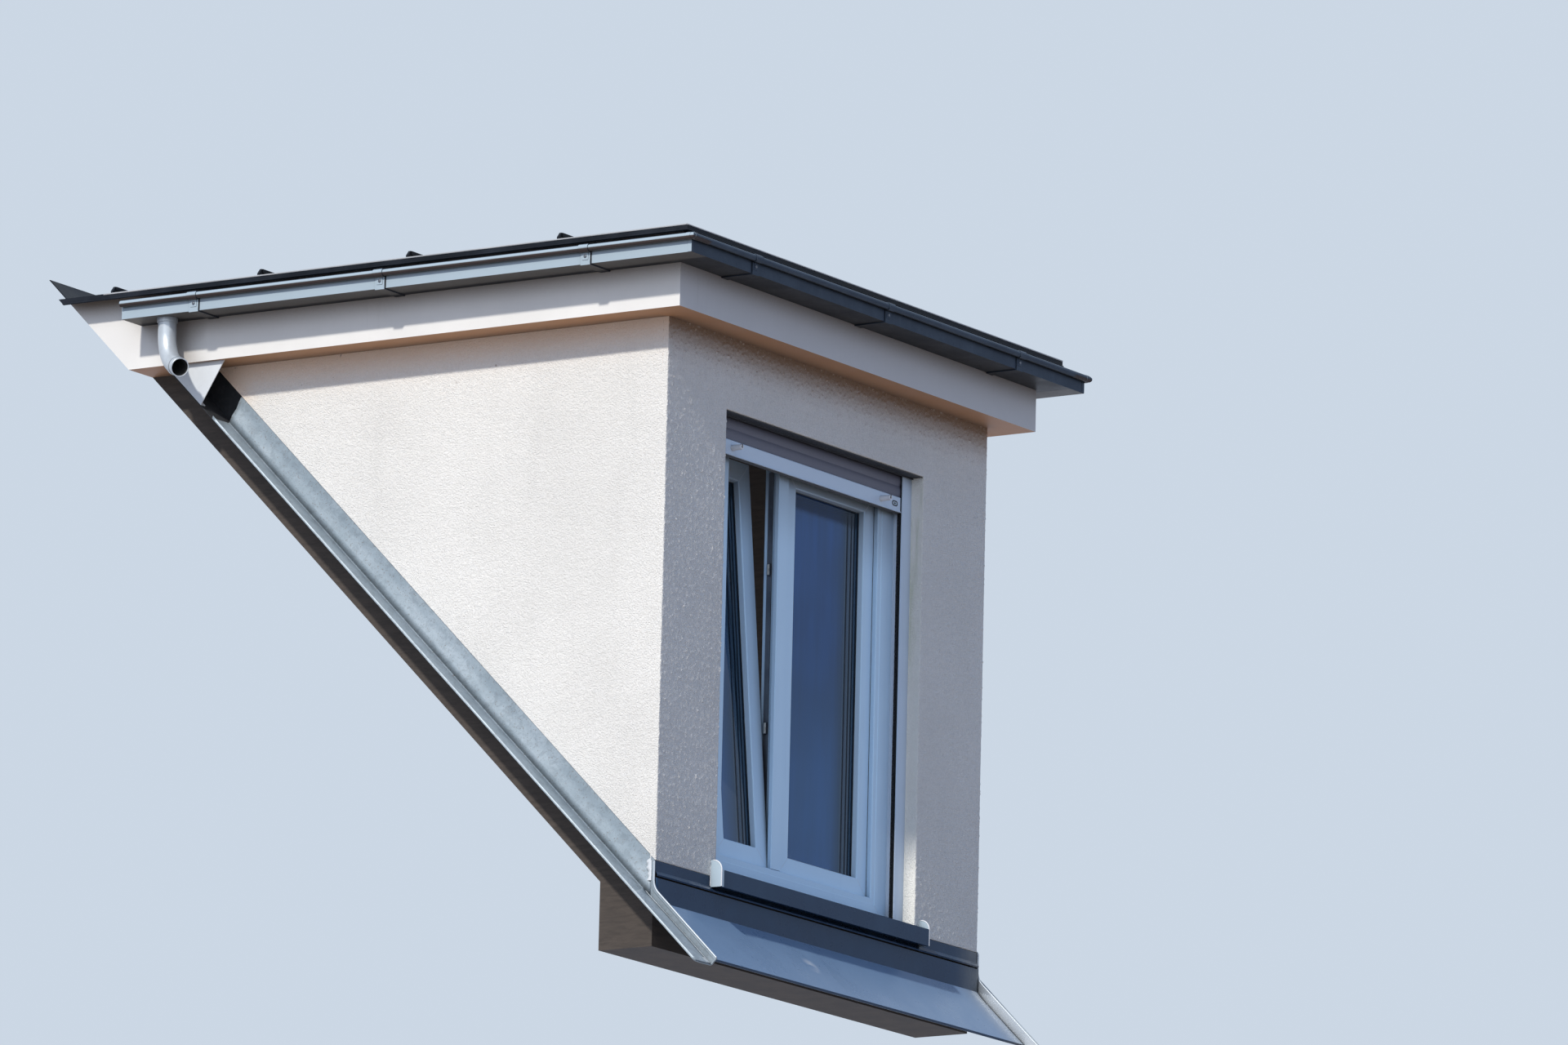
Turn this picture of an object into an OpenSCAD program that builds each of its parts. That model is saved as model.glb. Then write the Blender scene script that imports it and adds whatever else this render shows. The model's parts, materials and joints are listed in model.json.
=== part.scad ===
// Flat-roofed roof dormer with a tilt window, roller shutter, box gutter and sheet flashings.
// X runs along the front, Y runs back into the roof, Z is up.
// The origin is the middle of the foot of the front wall.

/* [Main sizes] */
// Width of the fascia box across the front
fascia_w = 2150; // [1900:10:2600]
// Height of the soffit above the foot of the front wall
soffit_z = 2020; // [1950:10:2200]
// Pitch of the main roof that the dormer sits on
roof_pitch = 45; // [42:1:50]
// Distance from the fascia face back to the rendered wall
overhang = 115; // [80:5:160]

/* [Walls] */
// Thickness of the render skin
render_t = 20; // [15:1:30]
// Thickness of the front wall behind its render
front_t = 200; // [160:10:240]
// Thickness of each cheek behind its render
cheek_t = 180; // [140:10:220]
// Height of the lower edge of the render above the foot
render_low = 270; // [250:5:280]

/* [Window opening] */
// Width of the opening
open_w = 1184; // [1000:2:1300]
// Sideways shift of the opening from the middle
open_shift = -20; // [-40:5:40]
// Distance from the soffit down to the head of the opening
head_drop = 235; // [220:5:300]
// Height of the opening
open_h = 1499; // [1300:1:1500]
// Depth that the render returns into the sides of the opening
return_d = 45; // [35:1:60]
// Depth of the head of the opening in front of the shutter's slot
head_d = 40; // [30:1:45]

/* [Roof] */
// Height of the roof joists
joist_h = 200; // [160:10:220]
// Width of each roof joist
joist_w = 80; // [60:5:100]
// Thickness of the roof boarding
boarding_t = 30; // [20:1:40]
// Thickness of the fascia boards
fascia_t = 24; // [18:1:30]
// Thickness of the soffit boards and of the ceiling board
lining_t = 12; // [9:1:18]
// Spacing of the standing seams
seam_pitch = 580; // [430:10:620]
// Height of a standing seam
seam_h = 25; // [20:1:35]
// Reach of the roof sheet beyond the fascia
drip_out = 62; // [40:1:80]

/* [Gutter] */
// Height of the gutter bottom above the soffit
gutter_z = 140; // [130:1:150]
// Width of the gutter bottom
gutter_w = 114; // [90:1:130]
// Height of the gutter face up to the middle of its bead
gutter_h = 49; // [40:1:55]
// Height of the gutter's back edge on the fascia
gutter_back_h = 72; // [60:1:85]
// Outer diameter of the rolled bead
bead_d = 22; // [16:1:26]
// Thickness of the gutter sheet
sheet_t = 2; // [1.5:0.5:3]
// Width of a gutter strap
strap_w = 36; // [25:1:40]
// Diameter of the outlet pipe
pipe_d = 60; // [50:1:76]

/* [Window] */
// Depth of the outer window frame
frame_d = 70; // [60:1:80]
// Distance from the render face back to the window frame
frame_set = 78; // [76:1:90]
// Face width of the outer window frame
frame_face = 88; // [75:1:95]
// Depth of the frame's lip in front of the sashes
lip_d = 18; // [14:1:24]
// Face width of a sash member
sash_face = 62; // [55:1:75]
// Width of the tilting left sash
left_sash_w = 320; // [300:5:450]
// Width of the astragal that covers the meeting edges
astragal_w = 58; // [50:1:65]
// Tilt of the open sash
tilt = 4.7; // [3:0.1:6]

/* [Shutter] */
// Distance from the render face back to the shutter curtain
shutter_set = 50; // [50:1:54]
// Width of a shutter guide rail
rail_w = 56; // [50:1:60]
// Height of the end slat
end_slat_h = 51; // [45:1:60]
// Height that one slat of the curtain covers
slat_pitch = 37; // [35:1:40]

/* [Sill and flashings] */
// Reach of the sill beyond the render face
sill_out = 40; // [30:1:60]
// Height of the front lip of the sill
sill_lip = 55; // [40:1:60]
// Fall of the sill from the window frame to its front
sill_fall = 12; // [8:1:20]
// Length of the apron down the main roof
apron_l = 257; // [200:1:320]
// Height of the flashings above the main roof structure
flash_lift = 140; // [130:5:160]
// Width of the side flashing beside the cheek
flange_w = 95; // [80:1:120]
// Height of the leaning lower band of the side flashings
band_h = 69; // [50:1:90]
// Height of the standing edge beside the apron
edge_h = 41; // [30:1:50]
// Thickness of the flashing sheet
flash_t = 3; // [2:0.5:3]

/* [Hidden] */
$fn = 48;

// The render face of the front wall, with the origin under the middle of the wall's core
face_y = -render_t - front_t / 2;
wall_w = fascia_w - 2 * overhang;
core_w = wall_w - 2 * render_t;
room_w = core_w - 2 * cheek_t;
rise = tan(roof_pitch);
deck_z = soffit_z + lining_t + joist_h + boarding_t;
roof_sheet_t = 4;
// Longer than any run of the roof, for half spaces and cutting tools
big = 12000;
// Overshoot of a cutting tool past the face that it cuts
over = 10;
open_x0 = open_shift - open_w / 2;
open_x1 = open_shift + open_w / 2;
open_z1 = soffit_z - head_drop;
open_z0 = open_z1 - open_h;

// Y at which a roof-parallel plane, lifted by a height, reaches a level
function plane_y(z, lift) = face_y + (z - lift) / rise;

// Distance from the main roof structure, square to it, of a plane lifted by a height
function off(lift) = lift * cos(roof_pitch);

// Point in (Y, Z) at a distance up the slope, on a plane lifted by a height
function slope_point(s, lift) =
    [s * cos(roof_pitch) - off(lift) * sin(roof_pitch), s * sin(roof_pitch) + off(lift) * cos(roof_pitch)];

// Points of an arc
function arc(mid, r, from, to, steps = 8) =
    [for (i = [0:steps]) let (a = from + (to - from) * i / steps) mid + r * [cos(a), sin(a)]];

// Direction from one point to the next
function heading(a, b) = (b - a) / norm(b - a);

// Corner of a folded sheet on its far side, mitred at a bend
function far_corner(path, i, t) =
    let (last = len(path) - 1,
        before = i == 0 ? heading(path[0], path[1]) : heading(path[i - 1], path[i]),
        after = i == last ? before : heading(path[i], path[i + 1]),
        mid = before + after)
    path[i] + t * [-mid[1], mid[0]] * 2 / (mid * mid);

// Outline of a sheet that follows a path, with its thickness to the left of the path
function folded(path, t) = concat(path, [for (i = [len(path) - 1:-1:0]) far_corner(path, i, t)]);

// Half space on the outer side of a roof-parallel plane lifted by a height
module above_roof(lift) {
    translate([0, face_y, lift]) rotate([roof_pitch, 0, 0])
        translate([-big / 2, -big / 2, 0]) cube(big);
}

// Box given by its low and high corners, with Y measured from the render face
module slab(x0, x1, y0, y1, z0, z1) {
    translate([x0, face_y + y0, z0]) cube([x1 - x0, y1 - y0, z1 - z0]);
}

// Profile in (Y, Z), with Y from the render face, drawn out along X
module along_x(x0, x1) {
    translate([x0, face_y, 0]) rotate([90, 0, 90]) linear_extrude(x1 - x0) children();
}

// Profile in X and distance from the main roof, drawn out up the slope
module up_slope(s0, s1) {
    translate([0, face_y, 0]) rotate([roof_pitch, 0, 0]) translate([0, s1, 0])
        rotate([90, 0, 0]) linear_extrude(s1 - s0) children();
}

// Turns a left-hand piece into its right-hand twin
module other_side() {
    mirror([1, 0, 0]) children();
}

// The same about the middle of the window opening
module other_jamb() {
    translate([2 * open_shift, 0, 0]) mirror([1, 0, 0]) children();
}

// Walls
return_t = 15;
box_h = 190;
sill_bed = 6;

module opening(x_more, y0, y1, z0, z1) {
    slab(open_x0 - x_more, open_x1 + x_more, y0, y1, z0, z1);
}

module front_wall() {
    back = render_t + front_t;
    color("gainsboro") difference() {
        slab(-core_w / 2, core_w / 2, render_t, back, 0, soffit_z + lining_t);
        opening(0, 0, back + over, open_z0, open_z1);
        opening(0, 0, frame_set, open_z0 - sill_bed, open_z1);
        opening(return_t, 0, return_d, open_z0 - sill_bed, open_z1);
        opening(return_t, 0, head_d, open_z0, open_z1 + return_t);
        opening(0, head_d, back + over, open_z0, open_z1 + box_h);
    }
}

module cheek() {
    intersection() {
        slab(-core_w / 2, -core_w / 2 + cheek_t, render_t + front_t, 2 * soffit_z, 0, soffit_z + lining_t);
        above_roof(0);
    }
}

module left_cheek() {
    color("gainsboro") cheek();
}

module right_cheek() {
    color("gainsboro") other_side() cheek();
}

module front_render() {
    color("ivory") difference() {
        union() {
            slab(-wall_w / 2, wall_w / 2, 0, render_t, render_low, soffit_z);
            opening(return_t, 0, return_d, open_z0 - sill_bed, open_z1);
            opening(return_t, 0, head_d, open_z0, open_z1 + return_t);
        }
        opening(0, -over, return_d + over, open_z0 - sill_bed, open_z1);
    }
}

module cheek_render() {
    intersection() {
        slab(-wall_w / 2, -core_w / 2, render_t, 2 * soffit_z, 0, soffit_z);
        above_roof(render_low);
    }
}

module left_render() {
    color("ivory") cheek_render();
}

module right_render() {
    color("ivory") other_side() cheek_render();
}

// Roof package
joist_gap = 400;
joist_start = -60;
joist_count = floor((plane_y(soffit_z, 0) - face_y) / joist_gap) + 1;

module ceiling() {
    color("white") intersection() {
        slab(-room_w / 2, room_w / 2, render_t + front_t, 2 * soffit_z, soffit_z, soffit_z + lining_t);
        above_roof(0);
    }
}

module roof_joists() {
    color("burlywood") for (i = [0:joist_count - 1])
        translate([0, i * joist_gap + joist_start, 0])
            slab(-fascia_w / 2 + fascia_t, fascia_w / 2 - fascia_t, 0, joist_w,
                soffit_z + lining_t, soffit_z + lining_t + joist_h);
}

module roof_boarding() {
    color("tan") intersection() {
        slab(-fascia_w / 2 + fascia_t, fascia_w / 2 - fascia_t, -overhang + fascia_t, 2 * soffit_z,
            deck_z - boarding_t, deck_z);
        above_roof(0);
    }
}

// Standing seam across the roof, with its ends folded down over the drip edge
seam_t = 8;
seam_start = 320;
seam_end = 14;
module seam() {
    half = fascia_w / 2 + drip_out - 4;
    rotate([90, 0, 0]) linear_extrude(seam_t)
        polygon([[-half, 0], [half, 0], [half, seam_h / 3], [half - seam_end, seam_h],
            [-half + seam_end, seam_h], [-half, seam_h / 3]]);
}

module roof_sheet() {
    seam_count = floor((plane_y(deck_z, 0) - face_y - seam_start) / seam_pitch) + 1;
    color("dimgray") intersection() {
        union() {
            slab(-fascia_w / 2, fascia_w / 2, -overhang, 2 * soffit_z, deck_z, deck_z + roof_sheet_t);
            for (i = [0:seam_count - 1])
                translate([0, face_y + seam_start + i * seam_pitch, deck_z + roof_sheet_t]) seam();
        }
        above_roof(0);
    }
}

// Section of the drip edge, with X outwards from the fascia face and Y up from the deck
module drip_section() {
    reach = drip_out - roof_sheet_t;
    polygon(folded([[0, 0], [reach, 0], [reach, -13], [reach + 5, -18]], roof_sheet_t));
}

// Wedge in front of the two mitre planes
module front_wedge() {
    reach = 400;
    translate([0, 0, -big]) linear_extrude(3 * big)
        polygon([[-fascia_w / 2 + reach, face_y - overhang + reach],
            [-fascia_w / 2 - reach, face_y - overhang - reach],
            [fascia_w / 2 + reach, face_y - overhang - reach],
            [fascia_w / 2 - reach, face_y - overhang + reach]]);
}

// Straight run of an eaves section along the front, mitred at both ends
module front_run(z) {
    intersection() {
        translate([-big / 2, face_y - overhang, z]) rotate([90, 0, 90])
            linear_extrude(big) mirror([1, 0]) children();
        front_wedge();
    }
}

// Straight run of an eaves section along the left side, mitred at the front
module side_run(z) {
    front_reach = overhang + drip_out + gutter_w;
    difference() {
        translate([-fascia_w / 2, face_y + big - front_reach, z]) rotate([90, 0, 0])
            linear_extrude(big) mirror([1, 0]) children();
        front_wedge();
    }
}

// The section round the three sides of the fascia box, ended by the main roof
module round_three_sides(z) {
    intersection() {
        union() {
            side_run(z) children();
            other_side() side_run(z) children();
            front_run(z) children();
        }
        above_roof(0);
    }
}

module drip_edge() {
    color("darkslategray") round_three_sides(deck_z) drip_section();
}

module fascia_front() {
    color("ivory") intersection() {
        slab(-fascia_w / 2, fascia_w / 2, -overhang, -overhang + fascia_t, soffit_z, deck_z);
        front_wedge();
    }
}

module fascia_side() {
    intersection() {
        difference() {
            slab(-fascia_w / 2, -fascia_w / 2 + fascia_t, -overhang, 2 * soffit_z, soffit_z, deck_z);
            front_wedge();
        }
        above_roof(0);
    }
}

module fascia_left() {
    color("ivory") fascia_side();
}

module fascia_right() {
    color("ivory") other_side() fascia_side();
}

module soffit() {
    color("ivory") intersection() {
        difference() {
            slab(-fascia_w / 2 + fascia_t, fascia_w / 2 - fascia_t, -overhang + fascia_t, 2 * soffit_z,
                soffit_z, soffit_z + lining_t);
            slab(-core_w / 2, core_w / 2, render_t, 3 * soffit_z, soffit_z - over, soffit_z + 2 * lining_t);
        }
        above_roof(0);
    }
}

// Gutter: section with X outwards from the fascia and Y up from the gutter bottom
bead_x = gutter_w + bead_d / 2 - sheet_t;
gutter_end_y = plane_y(soffit_z + gutter_z, flash_lift + 50);

module gutter_section() {
    polygon(folded([[0, gutter_back_h], [0, 0], [gutter_w, 0], [gutter_w, gutter_h]], sheet_t));
    translate([bead_x, gutter_h]) difference() {
        circle(d = bead_d);
        circle(d = bead_d - 2 * sheet_t);
    }
}

module gutter_front() {
    color("slategray") front_run(soffit_z + gutter_z) gutter_section();
}

// Side gutter, with a stop end towards the main roof and a hole for the outlet
module gutter_side() {
    difference() {
        union() {
            intersection() {
                side_run(soffit_z + gutter_z) gutter_section();
                translate([-big, gutter_end_y - big, 0]) cube([2 * big, big, big]);
            }
            translate([-fascia_w / 2, gutter_end_y + sheet_t, soffit_z + gutter_z]) rotate([90, 0, 0])
                linear_extrude(sheet_t) mirror([1, 0])
                    polygon([[0, 0], [gutter_w, 0], [gutter_w, gutter_h], [0, gutter_back_h]]);
        }
        at_outlet() translate([0, 0, -over]) cylinder(d = pipe_d - 2 * sheet_t, h = 2 * over);
    }
}

module gutter_left() {
    color("slategray") gutter_side();
}

module gutter_right() {
    color("slategray") other_side() gutter_side();
}

// Strap under the gutter, up its face and clipped over the bead
strap_t = 4;
clip_t = 2.5;
module strap_section() {
    polygon(folded([[gutter_w, gutter_h - bead_d / 2 + 2], [gutter_w, 0], [0, 0]], strap_t));
    translate([bead_x, gutter_h]) difference() {
        circle(d = bead_d + 2 * clip_t);
        circle(d = bead_d);
        translate([gutter_w - bead_x - bead_d, -bead_d]) square([bead_d, 2 * bead_d]);
    }
}

module front_strap(x) {
    translate([x - strap_w, face_y - overhang, soffit_z + gutter_z]) rotate([90, 0, 90])
        linear_extrude(strap_w) mirror([1, 0]) strap_section();
}

module side_strap(y) {
    translate([-fascia_w / 2, face_y + y + strap_w, soffit_z + gutter_z]) rotate([90, 0, 0])
        linear_extrude(strap_w) mirror([1, 0]) strap_section();
}

// Each strap stands beside a joint of the gutter: joints along the front, and back from the wall
front_joints = [-803, -12, 796];
side_joints = [151, 939, 1667];
module gutter_brackets() {
    color("slategray") {
        for (x = front_joints) front_strap(x);
        for (y = side_joints) {
            side_strap(y);
            other_side() side_strap(y);
        }
    }
}

// Outlet: a collar and pipe down from the gutter, then a bend out over the roof
pipe_y = 1830;
pipe_bend = 130;
pipe_turn = 70;
pipe_drop = 50;
pipe_end = 30;
pipe_aim = 31;
collar_h = 14;
pipe_gap = 1;

module at_outlet() {
    translate([-fascia_w / 2 - gutter_w / 2, face_y + pipe_y, soffit_z + gutter_z]) children();
}

module tube(d, bore, h) {
    difference() {
        cylinder(d = d, h = h);
        translate([0, 0, -over]) cylinder(d = bore, h = h + 2 * over);
    }
}

module outlet() {
    bore = pipe_d - 2 * sheet_t;
    at_outlet() rotate([0, 0, -pipe_aim]) {
        translate([0, 0, -pipe_drop]) tube(pipe_d, bore, pipe_drop);
        translate([0, 0, -collar_h]) tube(pipe_d + 8, bore, collar_h);
        translate([0, -pipe_bend, -pipe_drop]) rotate([0, -90, 0]) rotate([0, 0, 90])
            rotate_extrude(angle = pipe_turn) translate([pipe_bend, 0]) difference() {
                circle(d = pipe_d);
                circle(d = bore);
            }
        translate([0, -pipe_bend + pipe_bend * cos(pipe_turn), -pipe_drop - pipe_bend * sin(pipe_turn)])
            rotate([-pipe_turn, 0, 0]) {
                translate([0, 0, -pipe_end]) tube(pipe_d, bore, pipe_end - pipe_gap);
                translate([0, 0, -collar_h / 2]) tube(pipe_d + 4, pipe_d - 1, collar_h);
            }
    }
}

module outlet_left() {
    color("lightslategray") outlet();
}

module outlet_right() {
    color("lightslategray") other_side() outlet();
}

// Window: a section, X inwards from the outer edge and Y back, run round a ring with mitred corners
mitre_reach = 125;
module mitred_bar(length, x_out) {
    intersection() {
        translate([length + x_out, 0, 0]) rotate([0, -90, 0]) linear_extrude(length + 2 * x_out) children();
        translate([0, big / 2, 0]) rotate([90, 0, 0]) linear_extrude(big)
            polygon([[-x_out, -x_out], [length + x_out, -x_out],
                [length - mitre_reach, mitre_reach], [mitre_reach, mitre_reach]]);
    }
}

module mitred_ring(w, h, x_out) {
    corners = [[0, 0], [0, h], [w, h], [w, 0]];
    for (i = [0:3])
        translate([corners[i][0], 0, corners[i][1]]) rotate([0, 90 * i, 0])
            mitred_bar(i % 2 == 0 ? w : h, x_out) children();
}

frame_x0 = open_x0 + rail_w;
frame_x1 = open_x1 - rail_w;
frame_y = face_y + frame_set;
inner_x0 = frame_x0 + frame_face;
inner_x1 = frame_x1 - frame_face;
inner_z0 = open_z0 + frame_face;
inner_z1 = open_z1 - frame_face;
// Overlap of the frame's lip on a sash
lap = 8;
seal_t = 2;
sash_y = frame_y + lip_d + seal_t;
sash_d = 68;
sash_h = inner_z1 - inner_z0 + 2 * lap;
astragal_x = inner_x0 - lap + left_sash_w - lap;
right_sash_x = astragal_x + astragal_w;
right_sash_w = inner_x1 + lap - right_sash_x;
// Depth from a sash's front to the flange that closes on the room side of the frame
flange_set = 51;
flange_out = 12;

module frame_section() {
    step = 22;
    rebate = 20;
    polygon([[0, 0], [frame_face - step, 0], [frame_face - step + 1.5, 1.5], [frame_face - 3, 1.5],
        [frame_face, 4.5], [frame_face, lip_d], [frame_face - rebate, lip_d],
        [frame_face - rebate, frame_d], [0, frame_d]]);
}

module window_frame() {
    color("aliceblue") {
        translate([frame_x0, frame_y, open_z0])
            mitred_ring(frame_x1 - frame_x0, open_h, 0) frame_section();
        for (x = [open_x0, frame_x1])
            translate([x, frame_y, open_z0]) cube([rail_w, frame_d, open_h]);
    }
}

// Depth of the pane's front and the pane's thickness
pane_set = 20;
pane_t = 28;
pane_hold = 8;

module sash_section() {
    bead = sash_face + 8;
    polygon([[0, 0], [sash_face, 0], [sash_face + 3, 3], [sash_face + 6, pane_set],
        [sash_face - pane_hold, pane_set], [sash_face - pane_hold, pane_set + pane_t],
        [bead, pane_set + pane_t], [bead, pane_set + pane_t + 4], [bead - 12, sash_d],
        [-flange_out, sash_d], [-flange_out, flange_set], [0, flange_set]]);
}

module sash(w) {
    mitred_ring(w, sash_h, flange_out) sash_section();
}

module pane(w) {
    edge = sash_face - pane_hold;
    translate([edge, pane_set, edge]) cube([w - 2 * edge, pane_t, sash_h - 2 * edge]);
}

module at_left_sash() {
    translate([inner_x0 - lap, sash_y + sash_d, inner_z0 - lap]) rotate([-tilt, 0, 0])
        translate([0, -sash_d, 0]) children();
}

module at_right_sash() {
    translate([right_sash_x, sash_y, inner_z0 - lap]) children();
}

module left_sash() {
    color("aliceblue") at_left_sash() sash(left_sash_w);
}

module right_sash() {
    color("aliceblue") at_right_sash() sash(right_sash_w);
}

module left_glass() {
    color("lightblue") at_left_sash() pane(left_sash_w);
}

module right_glass() {
    color("lightblue") at_right_sash() pane(right_sash_w);
}

// Astragal on the edge of the closed sash, with a cover in front of the meeting edges
cover_d = 14;
module astragal() {
    front = lip_d - 3;
    color("aliceblue") translate([astragal_x, sash_y - front, inner_z0 + 2])
        linear_extrude(inner_z1 - inner_z0 - 4)
            polygon([[0, 2], [2, 0], [astragal_w - 2, 0], [astragal_w, 2], [astragal_w, front + flange_set - 1],
                [20, front + flange_set - 1], [20, cover_d + 8], [10, cover_d + 8], [10, cover_d], [0, cover_d]]);
}

// Lock strip on the edge of the astragal, with the keeps that the open sash's bolts close on
strip_t = 2.5;
keep_h = 38;
keep_z = [838, 1357];
module sash_lock_strip() {
    color("silver") {
        translate([astragal_x + 20 - strip_t, sash_y + 20, inner_z0 + 20])
            cube([strip_t, 18, inner_z1 - inner_z0 - 40]);
        for (z = keep_z)
            translate([astragal_x + 20 - strip_t - 7, sash_y + 22, z - keep_h / 2]) cube([7, 12, keep_h]);
    }
}

// Handle of the tilting sash, turned up, and the edge lever of the closed sash
lever_z = 640;
module window_handles() {
    color("white") {
        at_left_sash() translate([left_sash_w - 25, sash_d, lever_z]) handle();
        at_right_sash() translate([14, sash_d, lever_z - 40]) {
            cube([12, 6, 90]);
            translate([6, 6, 84]) rotate([90, 0, 0]) cylinder(d = 16, h = 6, $fn = 24);
        }
    }
}

module handle() {
    plate_w = 28;
    grip_w = 20;
    for (z = [-24, 24]) translate([0, 0, z]) rotate([-90, 0, 0]) cylinder(d = plate_w, h = 9);
    translate([-plate_w / 2, 0, -24]) cube([plate_w, 9, 48]);
    rotate([-90, 0, 0]) cylinder(d = 18, h = 50);
    translate([-grip_w / 2, 36, 0]) cube([grip_w, 14, 105]);
    translate([0, 36, 105]) rotate([-90, 0, 0]) cylinder(d = grip_w, h = 14);
    translate([0, 36, 0]) rotate([-90, 0, 0]) cylinder(d = grip_w, h = 14);
}

// Roller shutter
end_slat_z = open_z1 - 126;
end_slat_t = 15;
end_slat_gap = 4;
slat_t = 9;
slat_count = 4;

// Slat section, Y back and Z up: a shell curved to the front, hooked to its neighbour
module slat_section() {
    bulge = 3;
    r = (slat_pitch * slat_pitch / 4 + bulge * bulge) / (2 * bulge);
    half = asin(slat_pitch / 2 / r);
    polygon(concat(arc([r, slat_pitch / 2], r, 180 - half, 180 + half), [[slat_t - 2, 0], [slat_t, 4],
        [slat_t, slat_pitch - 4], [slat_t - 2, slat_pitch]]));
}

module shutter_slats() {
    color("gray") for (i = [0:slat_count - 1])
        translate([0, 0, end_slat_z + end_slat_h + i * slat_pitch])
            along_x(frame_x0 - 15, frame_x1 + 15) translate([shutter_set + 3, 0]) slat_section();
}

module end_slat_section() {
    r = 4;
    polygon(concat([[0, 0], [-3, 0], [-3, 3], [0, 4]],
        arc([r, end_slat_h - r], r, 180, 90), arc([end_slat_t - r, end_slat_h - r], r, 90, 0),
        [[end_slat_t, 0]]));
}

// Oval key hole near the right end of the end slat
key_x = 478;
key_w = 28;
key_d = 14;
module key_hole() {
    translate([key_x, face_y + shutter_set + 6, end_slat_z + end_slat_h / 2]) rotate([90, 0, 0]) {
        for (side = [-1, 1]) translate([side * (key_w - key_d) / 2, 0, 0]) cylinder(d = key_d, h = 2 * over);
        translate([-(key_w - key_d) / 2, -key_d / 2, 0]) cube([key_w - key_d, key_d, 2 * over]);
    }
}

module shutter_end_slat() {
    color("white") difference() {
        translate([0, 0, end_slat_z])
            along_x(frame_x0 + end_slat_gap, frame_x1 - end_slat_gap)
                translate([shutter_set, 0]) end_slat_section();
        key_hole();
    }
}

stop_d = 20;
stop_l = 38;
stop_left = 58;
stop_right = 122;
module shutter_stops() {
    color("whitesmoke") for (x = [frame_x0 + stop_left, frame_x1 - stop_right])
        translate([x, face_y + shutter_set, end_slat_z + end_slat_h / 2]) rotate([90, 0, 0]) difference() {
            cylinder(d1 = stop_d, d2 = stop_d - 3, h = stop_l);
            translate([0, 0, stop_l - 8]) cylinder(d = 8, h = 2 * over);
        }
}

// Rail section, X outwards from the inner edge and Y back, with a groove between two brush strips
module rail_section() {
    depth = frame_set - return_d;
    lip = 3;
    back_lip = depth - 8;
    groove = 26;
    brush_x = [2, 8];
    polygon([[0, 0], [rail_w, 0], [rail_w, depth], [0, depth], [0, back_lip],
        [brush_x[0], back_lip], [brush_x[0], back_lip - 4], [brush_x[1], back_lip - 4], [brush_x[1], back_lip],
        [groove, back_lip], [groove, lip], [brush_x[1], lip], [brush_x[1], lip + 1.5],
        [brush_x[0], lip + 1.5], [brush_x[0], lip], [0, lip]]);
}

module guide_rail() {
    difference() {
        translate([frame_x1, face_y + return_d, open_z0]) linear_extrude(open_h) rail_section();
        below_sill_top();
    }
}

module guide_rail_right() {
    color("white") guide_rail();
}

module guide_rail_left() {
    color("white") other_jamb() guide_rail();
}

// Shutter box over the window, open below where the curtain comes down
module shutter_box() {
    wall = 8;
    slot = 36;
    back = render_t + front_t - 5;
    color("whitesmoke") difference() {
        slab(open_x0, open_x1, head_d, back, open_z1, open_z1 + box_h);
        slab(open_x0 + wall, open_x1 - wall, head_d + wall, back - wall,
            open_z1 + wall, open_z1 + box_h - wall);
        slab(open_x0 + wall, open_x1 - wall, head_d + wall, head_d + wall + slot,
            open_z1 - over, open_z1 + 2 * wall);
    }
}

// Sill
sill_front_z = open_z0 + 2;
sill_side = 28;
sill_t = 2;

module sill_sheet() {
    low = sill_front_z - sill_lip;
    polygon(folded([[frame_set, sill_front_z + sill_fall], [-sill_out, sill_front_z],
        [-sill_out, low], [12 - sill_out, low]], sill_t));
}

module sill() {
    color("darkslateblue") difference() {
        along_x(open_x0 - sill_side, open_x1 + sill_side) sill_sheet();
        slab(open_x0 - 2 * sill_side, open_x0, 0, frame_set + over, 0, soffit_z);
        slab(open_x1, open_x1 + 2 * sill_side, 0, frame_set + over, 0, soffit_z);
    }
}

// Space under the top of the sill, for what stands on it
module below_sill_top() {
    along_x(open_x0 - over, open_x1 + over)
        polygon([[-sill_out, sill_front_z], [-sill_out, 0], [frame_set + over, 0],
            [frame_set + over, sill_front_z + sill_fall], [frame_set, sill_front_z + sill_fall]]);
}

// End cap of the sill: a side plate with a rounded shoulder
cap_t = 3;
cap_front_w = 14;
module sill_cap(front_out) {
    x = open_x0 - sill_side;
    low = sill_front_z - sill_lip - 1;
    shoulder = sill_out - 8;
    along_x(x - cap_t, x)
        polygon(concat([[0, low]], [[0, sill_front_z + shoulder]],
            arc([shoulder - front_out, sill_front_z], shoulder, 90, 180), [[-front_out, low]]));
}

// The left cap is folded round the front of the sill, and the right one ends flush behind it
module sill_cap_left() {
    x = open_x0 - sill_side - cap_t;
    color("white") {
        sill_cap(sill_out + cap_t);
        slab(x, x + cap_front_w, -sill_out - cap_t, -sill_out, sill_front_z - sill_lip - 1, sill_front_z);
    }
}

module sill_cap_right() {
    color("white") other_jamb() sill_cap(sill_out);
}

// Strip under the render, with a kick at its foot that throws the water on to the apron
strip_low = 223;
module base_strip() {
    top = render_low - 1;
    color("darkslateblue") along_x(-wall_w / 2 + 2, wall_w / 2 - 2)
        polygon(folded([[render_t, top], [1, top], [1, strip_low + 13], [-10, strip_low], [-6, strip_low - 4]],
            sheet_t));
}

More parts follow.
